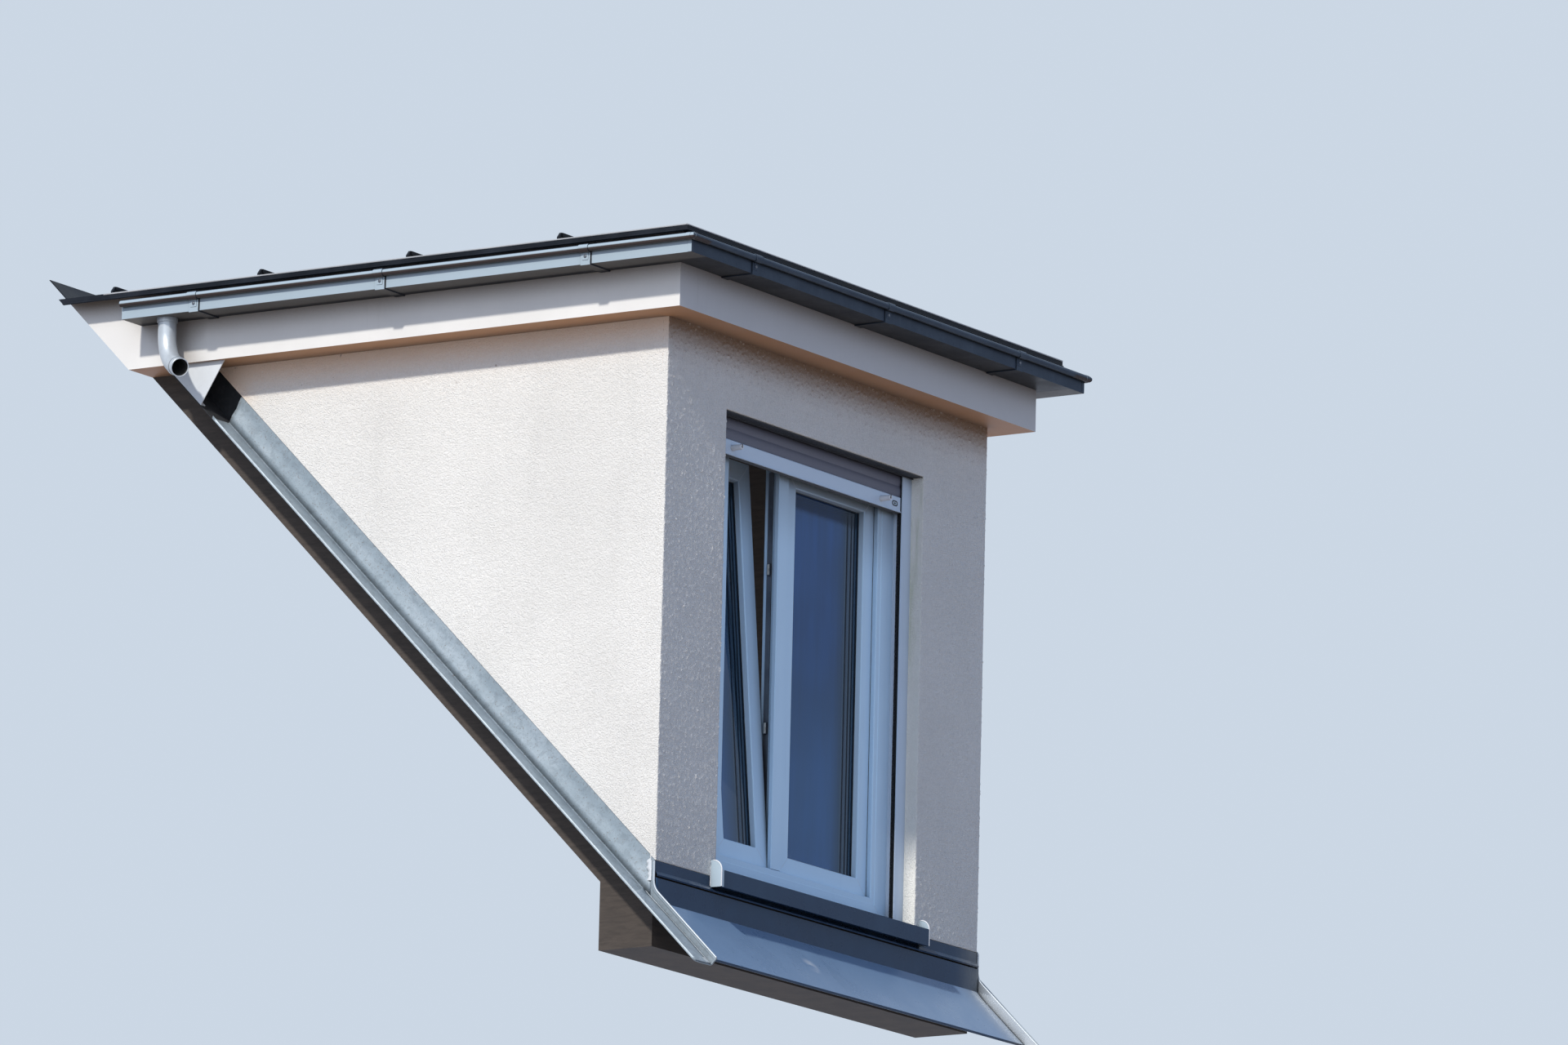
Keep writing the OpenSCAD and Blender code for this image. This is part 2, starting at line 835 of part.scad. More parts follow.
// Apron: folded out of the wall, down its face and out over the main roof
apron_set = 6;
module front_apron() {
    top = strip_low - 9;
    low_y = -apron_set - apron_l * cos(roof_pitch);
    low_z = low_y * rise + flash_lift;
    color("slategray") along_x(-wall_w / 2 - 2, wall_w / 2 + 2)
        polygon(folded([[render_t, top], [-apron_set, top], [-apron_set, flash_lift - apron_set * rise],
            [low_y, low_z], [low_y + 2, low_z - 8]], flash_t));
}

// Side flashings: folded off the cheek, down its face and out over the main roof, up the whole slope
flash_low = -215;
flash_high = 2900;
ear_lap = 12;
end_y = 1652;
end_lean = 24;
foot_x = -wall_w / 2 - 5;

// Half space past the sloping upper end of the side flashings
module past_flashing() {
    translate([0, face_y + end_y, end_y * rise + render_low]) rotate([end_lean, 0, 0])
        translate([-big / 2, 0, -big / 2]) cube(big);
}

module side_flashing() {
    face_x = -wall_w / 2 + 3;
    edge_x = foot_x - flange_w;
    top = off(render_low - 2);
    difference() {
        up_slope(flash_low, flash_high)
            polygon(folded([[-core_w / 2, top], [face_x, top], [face_x, off(flash_lift + band_h)],
                [foot_x, off(flash_lift)], [edge_x, off(flash_lift)], [edge_x, off(flash_lift) + 8]], flash_t));
        intersection() {
            slab(foot_x - over, 0, -soffit_z, ear_lap, -soffit_z, soffit_z);
            above_roof(flash_lift);
        }
        past_flashing();
    }
}

module side_flashing_left() {
    color("lightslategray") side_flashing();
}

module side_flashing_right() {
    color("lightslategray") other_side() side_flashing();
}

// Ear: the standing edge beside the apron, swept up into the corner of the wall
ear_r = 60;
hem_w = 8;
module ear_outline() {
    lift = flash_lift + edge_h;
    mid = [-ear_r, lift - ear_r * rise + ear_r / cos(roof_pitch)];
    polygon(concat([[ear_lap, flash_lift + ear_lap * rise], [ear_lap, render_low + ear_lap * rise],
        [0, render_low]], arc(mid, ear_r, 0, roof_pitch - 90),
        [slope_point(flash_low, lift), slope_point(flash_low, flash_lift)]));
}

module corner_ear() {
    along_x(foot_x, foot_x + flash_t) ear_outline();
    along_x(foot_x - flash_t, foot_x) difference() {
        ear_outline();
        translate([hem_w, hem_w - hem_w / cos(roof_pitch)]) ear_outline();
    }
}

module corner_ear_left() {
    color("lightslategray") corner_ear();
}

module corner_ear_right() {
    color("lightslategray") other_side() corner_ear();
}

// Black sealing sheet that goes on from the end of the flashing up to the eaves
module underlay_strip() {
    face_x = -core_w / 2 - flash_t;
    intersection() {
        up_slope(flash_low, flash_high)
            polygon(folded([[face_x, off(render_low)], [face_x, off(flash_lift)],
                [foot_x - flange_w, off(flash_lift)]], flash_t));
        past_flashing();
        slab(-fascia_w, 0, 0, 2 * soffit_z, 0, soffit_z);
    }
}

module underlay_strips() {
    color("black") {
        underlay_strip();
        other_side() underlay_strip();
    }
}

// End gusset: an upright sheet on a foot, which closes the wedge between the main roof and the eaves
gusset_y = 1651;
gusset_lean = 32;
gusset_foot = 24;
module end_gusset() {
    x = foot_x - flange_w;
    intersection() {
        union() {
            along_x(x, x + flash_t) square([2 * soffit_z, soffit_z]);
            up_slope(0, flash_high)
                translate([x, off(flash_lift)]) square([gusset_foot, flash_t]);
        }
        slab(x, 0, 0, 2 * soffit_z, 0, soffit_z);
        above_roof(flash_lift);
        translate([0, face_y + gusset_y, soffit_z]) rotate([gusset_lean, 0, 0])
            translate([-big / 2, 0, -big / 2]) cube(big);
    }
}

module end_gussets() {
    color("lightslategray") {
        end_gusset();
        other_side() end_gusset();
    }
}

// Sheet from the dormer's roof up on to the main roof
rear_t = 5;
rear_h = 90;
module rear_flashing() {
    color("dimgray") intersection() {
        difference() {
            above_roof(0);
            above_roof(rear_t);
        }
        slab(-fascia_w / 2, fascia_w / 2, 0, 3 * soffit_z, deck_z + roof_sheet_t, deck_z + rear_h);
    }
}

front_wall();
left_cheek();
right_cheek();
front_render();
left_render();
right_render();
ceiling();
roof_joists();
roof_boarding();
roof_sheet();
drip_edge();
fascia_front();
fascia_left();
fascia_right();
soffit();
gutter_front();
gutter_left();
gutter_right();
gutter_brackets();
outlet_left();
outlet_right();
window_frame();
left_sash();
right_sash();
left_glass();
right_glass();
astragal();
sash_lock_strip();
window_handles();
shutter_slats();
shutter_end_slat();
shutter_stops();
guide_rail_left();
guide_rail_right();
shutter_box();
sill();
sill_cap_left();
sill_cap_right();
base_strip();
front_apron();
side_flashing_left();
side_flashing_right();
corner_ear_left();
corner_ear_right();
underlay_strips();
end_gussets();
rear_flashing();
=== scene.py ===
import json
import logging
import math
import random
from dataclasses import dataclass, field
from enum import Enum
from typing import Sequence

import bmesh
import bpy
from mathutils import Matrix, Vector, noise

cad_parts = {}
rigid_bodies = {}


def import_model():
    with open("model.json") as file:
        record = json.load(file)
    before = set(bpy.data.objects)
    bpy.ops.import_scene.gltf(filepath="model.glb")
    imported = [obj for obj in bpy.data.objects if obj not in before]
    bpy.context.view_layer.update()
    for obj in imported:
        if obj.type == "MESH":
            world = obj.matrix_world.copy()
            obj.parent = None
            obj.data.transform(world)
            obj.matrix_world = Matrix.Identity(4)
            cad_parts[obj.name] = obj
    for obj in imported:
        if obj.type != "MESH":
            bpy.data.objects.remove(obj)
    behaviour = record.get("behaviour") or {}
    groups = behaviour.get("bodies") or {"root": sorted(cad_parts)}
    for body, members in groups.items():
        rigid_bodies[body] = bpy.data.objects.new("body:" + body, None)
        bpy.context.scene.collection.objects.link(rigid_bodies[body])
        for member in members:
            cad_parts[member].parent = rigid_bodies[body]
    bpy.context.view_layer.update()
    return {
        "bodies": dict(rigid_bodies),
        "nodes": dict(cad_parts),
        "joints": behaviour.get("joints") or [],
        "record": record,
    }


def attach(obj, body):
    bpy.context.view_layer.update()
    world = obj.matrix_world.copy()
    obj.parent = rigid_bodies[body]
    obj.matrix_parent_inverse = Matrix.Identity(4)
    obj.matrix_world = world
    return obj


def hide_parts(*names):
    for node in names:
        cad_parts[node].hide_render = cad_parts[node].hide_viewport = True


LOG = logging.getLogger("dormer")
Point2 = tuple[float, float]
Point3 = tuple[float, float, float]
Socket = bpy.types.NodeSocket
Tint = Sequence[float] | bpy.types.NodeSocket

ROOT = "root"


class Side(Enum):
    """The two flanks of the dormer, with the sign of X on each."""

    LEFT = -1
    RIGHT = 1


class Grain(Enum):
    """How a surface texture is stretched."""

    EVEN = (1.0, 1.0, 1.0)
    UPRIGHT = (1.0, 1.0, 0.12)
    LEVEL = (0.15, 0.15, 1.0)
    ALONG_X = (0.06, 1.0, 1.0)


@dataclass(frozen=True)
class Place:
    """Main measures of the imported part, in metres."""

    render_face: float = -0.120
    soffit: float = 2.020
    deck: float = 2.262
    half_fascia: float = 1.075
    half_wall: float = 0.960
    fascia_face: float = -0.235
    gutter_bottom: float = 2.160
    gutter_width: float = 0.114
    gutter_face: float = 0.049
    bead: float = 0.022
    open_left: float = -0.612
    open_right: float = 0.572
    open_head: float = 1.785
    open_foot: float = 0.286
    frame_left: float = -0.556
    frame_right: float = 0.516
    frame_front: float = -0.042
    frame_face: float = 0.088
    sash_front: float = -0.022


PLACE = Place()


# Materials


class Tree:
    """Node tree of one material, built from small steps."""

    def __init__(self, name: str) -> None:
        """Starts a material with a principled shader.

        Args:
            name: name of the material.
        """
        self.material = bpy.data.materials.new(name)
        self.material.use_nodes = True
        self.nodes = self.material.node_tree.nodes
        self.links = self.material.node_tree.links
        self.shader = self.nodes["Principled BSDF"]
        self.place = self.nodes.new("ShaderNodeTexCoord").outputs["Object"]

    def link(self, source: Socket, target: Socket) -> None:
        """Joins two sockets."""
        self.links.new(source, target)

    def put(self, socket: str, value: float | Sequence[float] | Socket) -> None:
        """Sets or links one socket of the shader.

        Args:
            socket: name of the socket.
            value: a number, a colour or another node's output.
        """
        target = self.shader.inputs[socket]
        if isinstance(value, Socket):
            self.link(value, target)
        else:
            target.default_value = value

    def stretched(self, grain: Grain, turn: float = 0.0) -> Socket:
        """Object coordinates, stretched along the grain.

        Args:
            grain: the stretch.
            turn: turn about X in degrees, for sheets that follow the roof pitch.

        Returns:
            The vector output.
        """
        node = self.nodes.new("ShaderNodeMapping")
        node.inputs["Scale"].default_value = grain.value
        node.inputs["Rotation"].default_value = (math.radians(turn), 0.0, 0.0)
        self.link(self.place, node.inputs["Vector"])
        return node.outputs["Vector"]

    def noise(
        self, scale: float, detail: float = 3.0, rough: float = 0.55,
        grain: Grain = Grain.EVEN, turn: float = 0.0, warp: float = 0.0,
    ) -> Socket:
        """Noise in object space.

        Args:
            scale: cells per metre.
            detail: octaves.
            rough: share of the fine octaves.
            grain: the stretch.
            turn: turn about X in degrees.
            warp: distortion.

        Returns:
            The factor output.
        """
        node = self.nodes.new("ShaderNodeTexNoise")
        node.inputs["Scale"].default_value = scale
        node.inputs["Detail"].default_value = detail
        node.inputs["Roughness"].default_value = rough
        node.inputs["Distortion"].default_value = warp
        self.link(self.stretched(grain, turn), node.inputs["Vector"])
        return node.outputs["Fac"]

    def cells(self, scale: float, smooth: float = 0.4, grain: Grain = Grain.EVEN) -> Socket:
        """Distance to the middle of rounded cells.

        Args:
            scale: cells per metre.
            smooth: how far the cells melt together.
            grain: the stretch.

        Returns:
            The distance output.
        """
        node = self.nodes.new("ShaderNodeTexVoronoi")
        node.feature = "SMOOTH_F1"
        node.inputs["Scale"].default_value = scale
        node.inputs["Smoothness"].default_value = smooth
        self.link(self.stretched(grain), node.inputs["Vector"])
        return node.outputs["Distance"]

    def window(self, factor: Socket, low: float, high: float) -> Socket:
        """Soft step of a factor between two levels.

        Args:
            factor: the input.
            low: level that gives 0.
            high: level that gives 1.

        Returns:
            The stepped factor.
        """
        node = self.nodes.new("ShaderNodeMapRange")
        node.interpolation_type = "SMOOTHSTEP"
        node.inputs["From Min"].default_value = low
        node.inputs["From Max"].default_value = high
        self.link(factor, node.inputs["Value"])
        return node.outputs["Result"]

    def between(self, factor: Socket, low: float, high: float, soft: float) -> Socket:
        """Factor that is 1 between two levels and falls off outside them.

        Args:
            factor: the input.
            low: lower level.
            high: upper level.
            soft: width of the fall on each side.

        Returns:
            The stepped factor.
        """
        return self.both(self.window(factor, low - soft, low), self.window(factor, high + soft, high))

    def scaled(self, factor: Socket, low: float, high: float) -> Socket:
        """Spreads a factor from 0 to 1 evenly over another range.

        Args:
            factor: the input.
            low: result at 0.
            high: result at 1.

        Returns:
            The spread factor.
        """
        node = self.nodes.new("ShaderNodeMapRange")
        node.inputs["To Min"].default_value = low
        node.inputs["To Max"].default_value = high
        self.link(factor, node.inputs["Value"])
        return node.outputs["Result"]

    def math(self, kind: str, a: Socket, b: Socket | float | None = None) -> Socket:
        """One math step on a factor.

        Args:
            kind: the operation.
            a: first input.
            b: second input, a number or an output, where the operation has one.

        Returns:
            The result.
        """
        node = self.nodes.new("ShaderNodeMath")
        node.operation = kind
        self.link(a, node.inputs[0])
        if isinstance(b, Socket):
            self.link(b, node.inputs[1])
        elif b is not None:
            node.inputs[1].default_value = b
        return node.outputs["Value"]

    def both(self, a: Socket, b: Socket) -> Socket:
        """Product of two factors, which is high only where both are."""
        return self.math("MULTIPLY", a, b)

    def height(self, axis: int = 2) -> Socket:
        """One coordinate of the object's own space.

        Args:
            axis: 0, 1 or 2 for X, Y or Z.

        Returns:
            The coordinate in metres.
        """
        node = self.nodes.new("ShaderNodeSeparateXYZ")
        self.link(self.place, node.inputs["Vector"])
        return node.outputs[axis]

    def facing(self, axis: int = 2) -> Socket:
        """One part of the surface normal; for Z it is 1 on top, 0 upright, -1 below.

        Args:
            axis: 0, 1 or 2 for X, Y or Z.

        Returns:
            The part of the normal.
        """
        node = self.nodes.new("ShaderNodeSeparateXYZ")
        self.link(self.nodes.new("ShaderNodeNewGeometry").outputs["True Normal"], node.inputs["Vector"])
        return node.outputs[axis]

    def painted_corner_shade(
        self, body: Socket, shade: Tint, reach: float, share: float,
        start: float = 0.96, full: float = 0.36, above: float | None = None,
    ) -> Socket:
        """Colour that turns darker where other parts stand close: painted shade in corners and under things.

        Args:
            body: the open colour.
            shade: the colour in a corner.
            reach: how far off a part still counts, in metres.
            share: how far the colour goes over to the shade in a corner.
            start: openness at which the shade starts.
            full: openness at which it is full.
            above: height below which there is none.

        Returns:
            The mixed colour.
        """
        node = self.nodes.new("ShaderNodeAmbientOcclusion")
        node.samples = 8
        node.inputs["Distance"].default_value = reach
        factor = self.scaled(self.window(node.outputs["AO"], start, full), 0.0, share)
        if above is not None:
            factor = self.both(factor, self.window(self.height(), above, above + 0.10))
        return self.blend(factor, body, shade)

    def seen_straight(self) -> Socket:
        """Factor that is 1 for rays that show a surface as it is seen.

        Returns:
            The factor, 0 for the rays that only carry light.
        """
        path = self.nodes.new("ShaderNodeLightPath")
        first = self.math("MAXIMUM", path.outputs["Is Camera Ray"], path.outputs["Is Glossy Ray"])
        return self.math("MAXIMUM", first, path.outputs["Is Transmission Ray"])

    def blend(self, factor: Socket, a: Tint, b: Tint) -> Socket:
        """Mix of two colours by a factor.

        Args:
            factor: share of the second colour.
            a: first colour, values or an output.
            b: second colour, values or an output.

        Returns:
            The mixed colour.
        """
        node = self.nodes.new("ShaderNodeMix")
        node.data_type = "RGBA"
        self.link(factor, node.inputs["Factor"])
        for value, socket in ((a, node.inputs[6]), (b, node.inputs[7])):
            if isinstance(value, Socket):
                self.link(value, socket)
            else:
                socket.default_value = (*value[:3], 1.0)
        return node.outputs[2]

    def stained(self, body: Socket, where: Socket, share: float, color: Tint) -> Socket:
        """Colour that goes over to another one in places.

        Args:
            body: the colour below.
            where: factor that is high in those places.
            share: how far it goes over there.
            color: the other colour.

        Returns:
            The mixed colour.
        """
        return self.blend(self.scaled(where, 0.0, share), body, color)

    def bump(self, factor: Socket, strength: float, depth: float, over: Socket | None = None) -> Socket:
        """Bump from a height factor.

        Args:
            factor: the height.
            strength: strength of the bump.
            depth: height in metres of the factor's full range.
            over: normal of a coarser bump below this one.

        Returns:
            The normal.
        """
        node = self.nodes.new("ShaderNodeBump")
        node.inputs["Strength"].default_value = strength
        node.inputs["Distance"].default_value = depth
        self.link(factor, node.inputs["Height"])
        if over is not None:
            self.link(over, node.inputs["Normal"])
        return node.outputs["Normal"]


def tone(color: Sequence[float], share: float) -> Point3:
    """Colour made lighter or darker by a share."""
    return tuple(min(1.0, c * share) for c in color[:3])


def toward(color: Sequence[float], other: Sequence[float], share: float) -> Point3:
    """Colour moved by a share towards another."""
    return tuple(a + (b - a) * share for a, b in zip(color, other))


@dataclass(frozen=True)
class RenderFinish:
    """Rough mineral render: rounded grains with worm-like pits between them."""

    name: str = "mineral_render"
    color: Point3 = (0.815, 0.785, 0.725)
    grains: float = 240.0
    relief: float = 0.0016
    rain: Point3 = (0.42, 0.40, 0.36)
    splash: Point3 = (0.46, 0.43, 0.38)
    splash_span: Point2 = (0.75, 0.25)
    # painted shade under the eaves: brown on the front, warm and light on the flanks
    front_shade: Point3 = (0.25, 0.145, 0.075)
    flank_shade: Point3 = (0.85, 0.66, 0.50)
    shade_reach: float = 0.15
    # bright grain tips: partly white grains, partly painted highlights
    glint: Point3 = (0.97, 0.97, 0.97)
    speck: Point3 = (0.20, 0.13, 0.08)
    speck_span: Point2 = (1.80, 2.00)
    # painted light: lighter, creamier colour of the right return of the opening
    jamb: Point3 = (0.90, 0.875, 0.78)
    jamb_span: Point2 = (0.50, 0.54)
    algae: Point3 = (0.50, 0.53, 0.36)
    algae_span: Point2 = (1.0, 1.4)

    def make(self) -> bpy.types.Material:
        """Builds the material.

        Returns:
            The material.
        """
        t = Tree(self.name)
        grain = t.cells(self.grains, 0.6)
        body = self.under_eaves(t, self.weathered(t, grain), grain)
        t.put("Base Color", self.on_return(t, body))
        t.put("Roughness", 0.94)
        t.put("Specular IOR Level", 0.2)
        pits = t.window(t.noise(self.grains * 0.8, 3.0, 0.55, warp=0.4), 0.34, 0.60)
        t.put("Normal", t.bump(grain, 0.6, self.relief, t.bump(pits, 0.7, self.relief)))
        return t.material

    def weathered(self, t: Tree, grain: Socket) -> Socket:
        """Open colour: cloudy, darker between the grains as painted shade, with rain stains and splashes at
        the foot.

        Args:
            t: the node tree.
            grain: distance to the middle of a grain.

        Returns:
            The colour.
        """
        patch = t.noise(2.2, 4.0, 0.6)
        body = t.blend(t.window(patch, 0.3, 0.7), tone(self.color, 0.955), tone(self.color, 1.03))
        # painted shade: darker in the pits between the grains
        body = t.stained(body, t.window(grain, 0.55, 0.15), 0.22, tone(self.color, 0.60))
        body = t.stained(body, t.window(t.noise(105.0, 2.0, 0.6), 0.60, 0.30), 0.16, tone(self.color, 0.70))
        streaks = t.window(t.noise(9.0, 4.0, 0.6, Grain.UPRIGHT), 0.56, 0.80)
        body = t.stained(body, streaks, 0.10, self.rain)
        foot = t.math("SUBTRACT", t.window(t.height(), *self.splash_span), 0.35)
        return t.stained(body, t.both(t.math("MAXIMUM", foot, 0.0), patch), 0.45, self.splash)

    def under_eaves(self, t: Tree, body: Socket, grain: Socket) -> Socket:
        """Adds painted brown shade under the eaves, bright grain tips that are partly white grains and partly
        painted highlights, and dark specks below the soffit.

        Args:
            t: the node tree.
            body: the open colour.
            grain: distance to the middle of a grain.

        Returns:
            The colour.
        """
        flank = t.window(t.math("ABSOLUTE", t.facing(0)), 0.3, 0.8)
        shade = t.blend(flank, self.front_shade, self.flank_shade)
        # painted shade under the eaves, where other parts stand close
        body = t.painted_corner_shade(body, shade, self.shade_reach, 0.94, full=0.55, above=PLACE.open_head + 0.02)
        # bright grain tips: partly white grains, partly painted highlights
        glint = t.both(t.window(t.noise(150.0, 1.0, 0.4), 0.66, 0.74), t.window(grain, 0.45, 0.15))
        body = t.stained(body, glint, 0.85, self.glint)
        specks = t.both(t.window(t.noise(46.0, 2.0, 0.5), 0.74, 0.77), t.window(t.height(), *self.speck_span))
        return t.stained(body, specks, 0.75, self.speck)

    def on_return(self, t: Tree, body: Socket) -> Socket:
        """Adds the lighter, creamier colour of the right return of the opening, which is painted light, and
        the algae on it.

        Args:
            t: the node tree.
            body: colour of the coat.

        Returns:
            The colour.
        """
        # painted light on the right return of the opening
        jamb = t.both(t.window(t.facing(0), -0.4, -0.8), t.window(t.height(0), *self.jamb_span))
        body = t.stained(body, jamb, 0.6, self.jamb)
        streaks = t.window(t.noise(24.0, 4.0, 0.6, Grain.UPRIGHT), 0.46, 0.66)
        algae = t.both(t.both(jamb, streaks), t.window(t.height(), *self.algae_span))
        return t.stained(body, algae, 0.55, self.algae)


@dataclass(frozen=True)
class SheetFinish:
    """Coated or bare sheet metal: mottled, streaked by rain and scuffed at the folds, with painted shade where
    other parts stand close.
    """

    name: str
    color: Point3
    light: Point3
    metal: float = 0.35
    rough: float = 0.42
    spangle: float = 0.0
    rust: float = 0.0
    turn: float = 0.0
    dents: float = 0.0006
    gloss: float = 0.5
    tint: Point3 = (1.0, 1.0, 1.0)
    dust_from: float = 9.0
    # painted light: lighter colour of the apron's slope
    painted_lit_slope: Point3 | None = None
    # painted light: pale colour for the side gutters' outer faces
    sides: Point3 | None = None
    streaks: float = 0.22
    corner_shade_share: float = 0.8
    scuff: Point3 | None = None
    # painted shade: brown lower bead and dark undersides of the gutters
    painted_bead_shade: Point3 = (0.070, 0.053, 0.048)
    painted_front_under_shade: Point3 = (0.030, 0.029, 0.029)
    painted_side_under_shade: Point3 = (0.12, 0.113, 0.105)
    rust_spot: Point3 = (0.16, 0.135, 0.11)
    rub: Point3 = (0.42, 0.46, 0.52)
    dust: Point3 = (0.36, 0.34, 0.28)

    def make(self) -> bpy.types.Material:
        """Builds the material.

        Returns:
            The material.
        """
        t = Tree(self.name)
        cloud = t.noise(5.5, 5.0, 0.62, turn=self.turn)
        body = self.mottled(t, cloud)
        # painted light and shade on the gutters' faces, where set
        if self.sides:
            body = self.gutter_faces(t, body, cloud)
        if self.spangle > 0.0:
            flakes = t.window(t.cells(95.0, 0.1), 0.15, 0.65)
            body = t.stained(body, flakes, self.spangle, tone(self.color, 0.72))
        if self.rust > 0.0:
            body = self.rusted(t, body)
        if self.scuff:
            body = self.scuffed(t, body)
        dust = t.both(t.window(t.height(0), self.dust_from, self.dust_from + 0.18), t.noise(14.0, 4.0, 0.6))
        body = t.stained(body, dust, 0.9, self.dust)
        # painted shade: the sheet turns darker where other parts stand close
        t.put("Base Color", t.painted_corner_shade(body, tone(self.color, 0.12), 0.06, self.corner_shade_share, 0.85, 0.25))
        t.put("Specular IOR Level", self.gloss)
        t.put("Specular Tint", (*self.tint, 1.0))
        t.put("Metallic", self.metal)
        matt = t.window(cloud, 0.3, 0.75)
        t.put("Roughness", t.scaled(matt, self.rough * 0.82, min(1.0, self.rough * 1.25)))
        wavy = t.bump(t.noise(6.5, 2.0, 0.4), 0.35, self.dents * 4.0)
        t.put("Normal", t.bump(t.noise(240.0), 0.12, self.dents * 0.2, wavy))
        return t.material

    def mottled(self, t: Tree, cloud: Socket) -> Socket:
        """Open colour: cloudy, streaked by rain, and lighter on the apron's slope as painted light.

        Args:
            t: the node tree.
            cloud: large soft noise.

        Returns:
            The colour.
        """
        body = t.blend(t.window(cloud, 0.34, 0.70), self.color, toward(self.color, self.light, 0.55))
        streak = t.noise(34.0, 4.0, 0.6, Grain.UPRIGHT, self.turn)
        body = t.stained(body, t.window(streak, 0.50, 0.78), self.streaks, self.light)
        body = t.stained(body, t.window(t.noise(75.0, 2.0), 0.60, 0.74), 0.22, tone(self.color, 0.62))
        # painted light: the apron's slope is lighter
        if self.painted_lit_slope:
            pitched = t.both(t.window(t.facing(), 0.30, 0.60), t.window(t.height(), 0.20, 0.17))
            body = t.stained(body, pitched, 0.85, self.painted_lit_slope)
        return body

    def gutter_faces(self, t: Tree, body: Socket, cloud: Socket) -> Socket:
        """Adds painted light and shade: the pale outer faces of the side gutters as painted light, their brown
        lower bead and the dark undersides as painted shade.

        Args:
            t: the node tree.
            body: colour of the sheet.
            cloud: large soft noise.

        Returns:
            The colour.
        """
        outward = t.window(t.math("ABSOLUTE", t.facing(0)), 0.50, 0.85)
        edge = PLACE.half_fascia + 0.02
        beside = t.window(t.math("ABSOLUTE", t.height(0)), edge, edge + 0.02)
        # painted light on the outer faces, painted shade on the lower bead and undersides
        painted_lit_side = t.blend(cloud, self.sides, tone(self.sides, 1.12))
        body = t.blend(t.both(outward, beside), body, painted_lit_side)
        body = t.blend(t.both(beside, t.window(t.facing(), -0.03, -0.20)), body, self.painted_bead_shade)
        below = t.blend(beside, self.painted_front_under_shade, self.painted_side_under_shade)
        return t.blend(t.window(t.facing(), -0.90, -0.98), body, below)

    def rusted(self, t: Tree, body: Socket) -> Socket:
        """Adds dark blotches and small spots of rust.

        Args:
            t: the node tree.
            body: colour of the sheet.

        Returns:
            The colour.
        """
        blotch = t.window(t.noise(30.0, 5.0, 0.72, turn=self.turn, warp=0.6), 0.46, 0.62)
        body = t.stained(body, blotch, 0.50, tone(self.color, 0.68))
        return t.stained(body, t.window(t.noise(170.0, 3.0, 0.6), 0.61, 0.65), self.rust, self.rust_spot)

    def scuffed(self, t: Tree, body: Socket) -> Socket:
        """Adds one rubbed place.

        Args:
            t: the node tree.
            body: colour of the sheet.

        Returns:
            The colour.
        """
        away = t.nodes.new("ShaderNodeVectorMath")
        away.operation = "DISTANCE"
        t.link(t.place, away.inputs[0])
        away.inputs[1].default_value = self.scuff
        near = t.window(away.outputs["Value"], 0.045, 0.010)
        scratches = t.window(t.noise(60.0, 4.0, 0.6, Grain.LEVEL), 0.42, 0.60)
        return t.stained(body, t.both(near, scratches), 0.7, self.rub)


@dataclass(frozen=True)
class BoardFinish:
    """Painted fascia and soffit boards: brushed paint with a little dirt in runs, the front faces painted
    greyer as painted shade, the undersides orange-brown as painted bounced light, and painted shade where
    other parts stand close.
    """

    name: str = "painted_board"
    color: Point3 = (0.80, 0.77, 0.72)
    run: Point3 = (0.44, 0.40, 0.34)
    # painted shade: greyer colour of the front faces
    front: Point3 = (0.42, 0.425, 0.46)
    # painted bounced light: orange-brown colour of the undersides
    under: Point3 = (0.48, 0.225, 0.09)
    # painted shade where other parts stand close
    corner: Point3 = (0.15, 0.115, 0.09)

    def make(self) -> bpy.types.Material:
        """Builds the material.

        Returns:
            The material.
        """
        t = Tree(self.name)
        cloud = t.noise(3.5, 4.0, 0.6)
        body = t.blend(t.window(cloud, 0.3, 0.75), tone(self.color, 0.95), tone(self.color, 1.02))
        runs = t.window(t.noise(22.0, 5.0, 0.65, Grain.UPRIGHT), 0.58, 0.80)
        body = t.stained(body, runs, 0.16, self.run)
        # painted shade on the front faces, painted bounced light on the undersides, painted shade in corners
        body = t.stained(body, t.window(t.facing(1), -0.5, -0.9), 0.45, self.front)
        below = t.both(t.window(t.facing(), -0.4, -0.8), t.scaled(cloud, 0.85, 1.0))
        body = t.blend(below, body, self.under)
        t.put("Base Color", t.painted_corner_shade(body, self.corner, 0.10, 0.85))
        t.put("Roughness", t.scaled(cloud, 0.42, 0.62))
        t.put("Normal", t.bump(t.noise(60.0, 4.0, 0.6, Grain.LEVEL), 0.12, 0.0006))
        return t.material


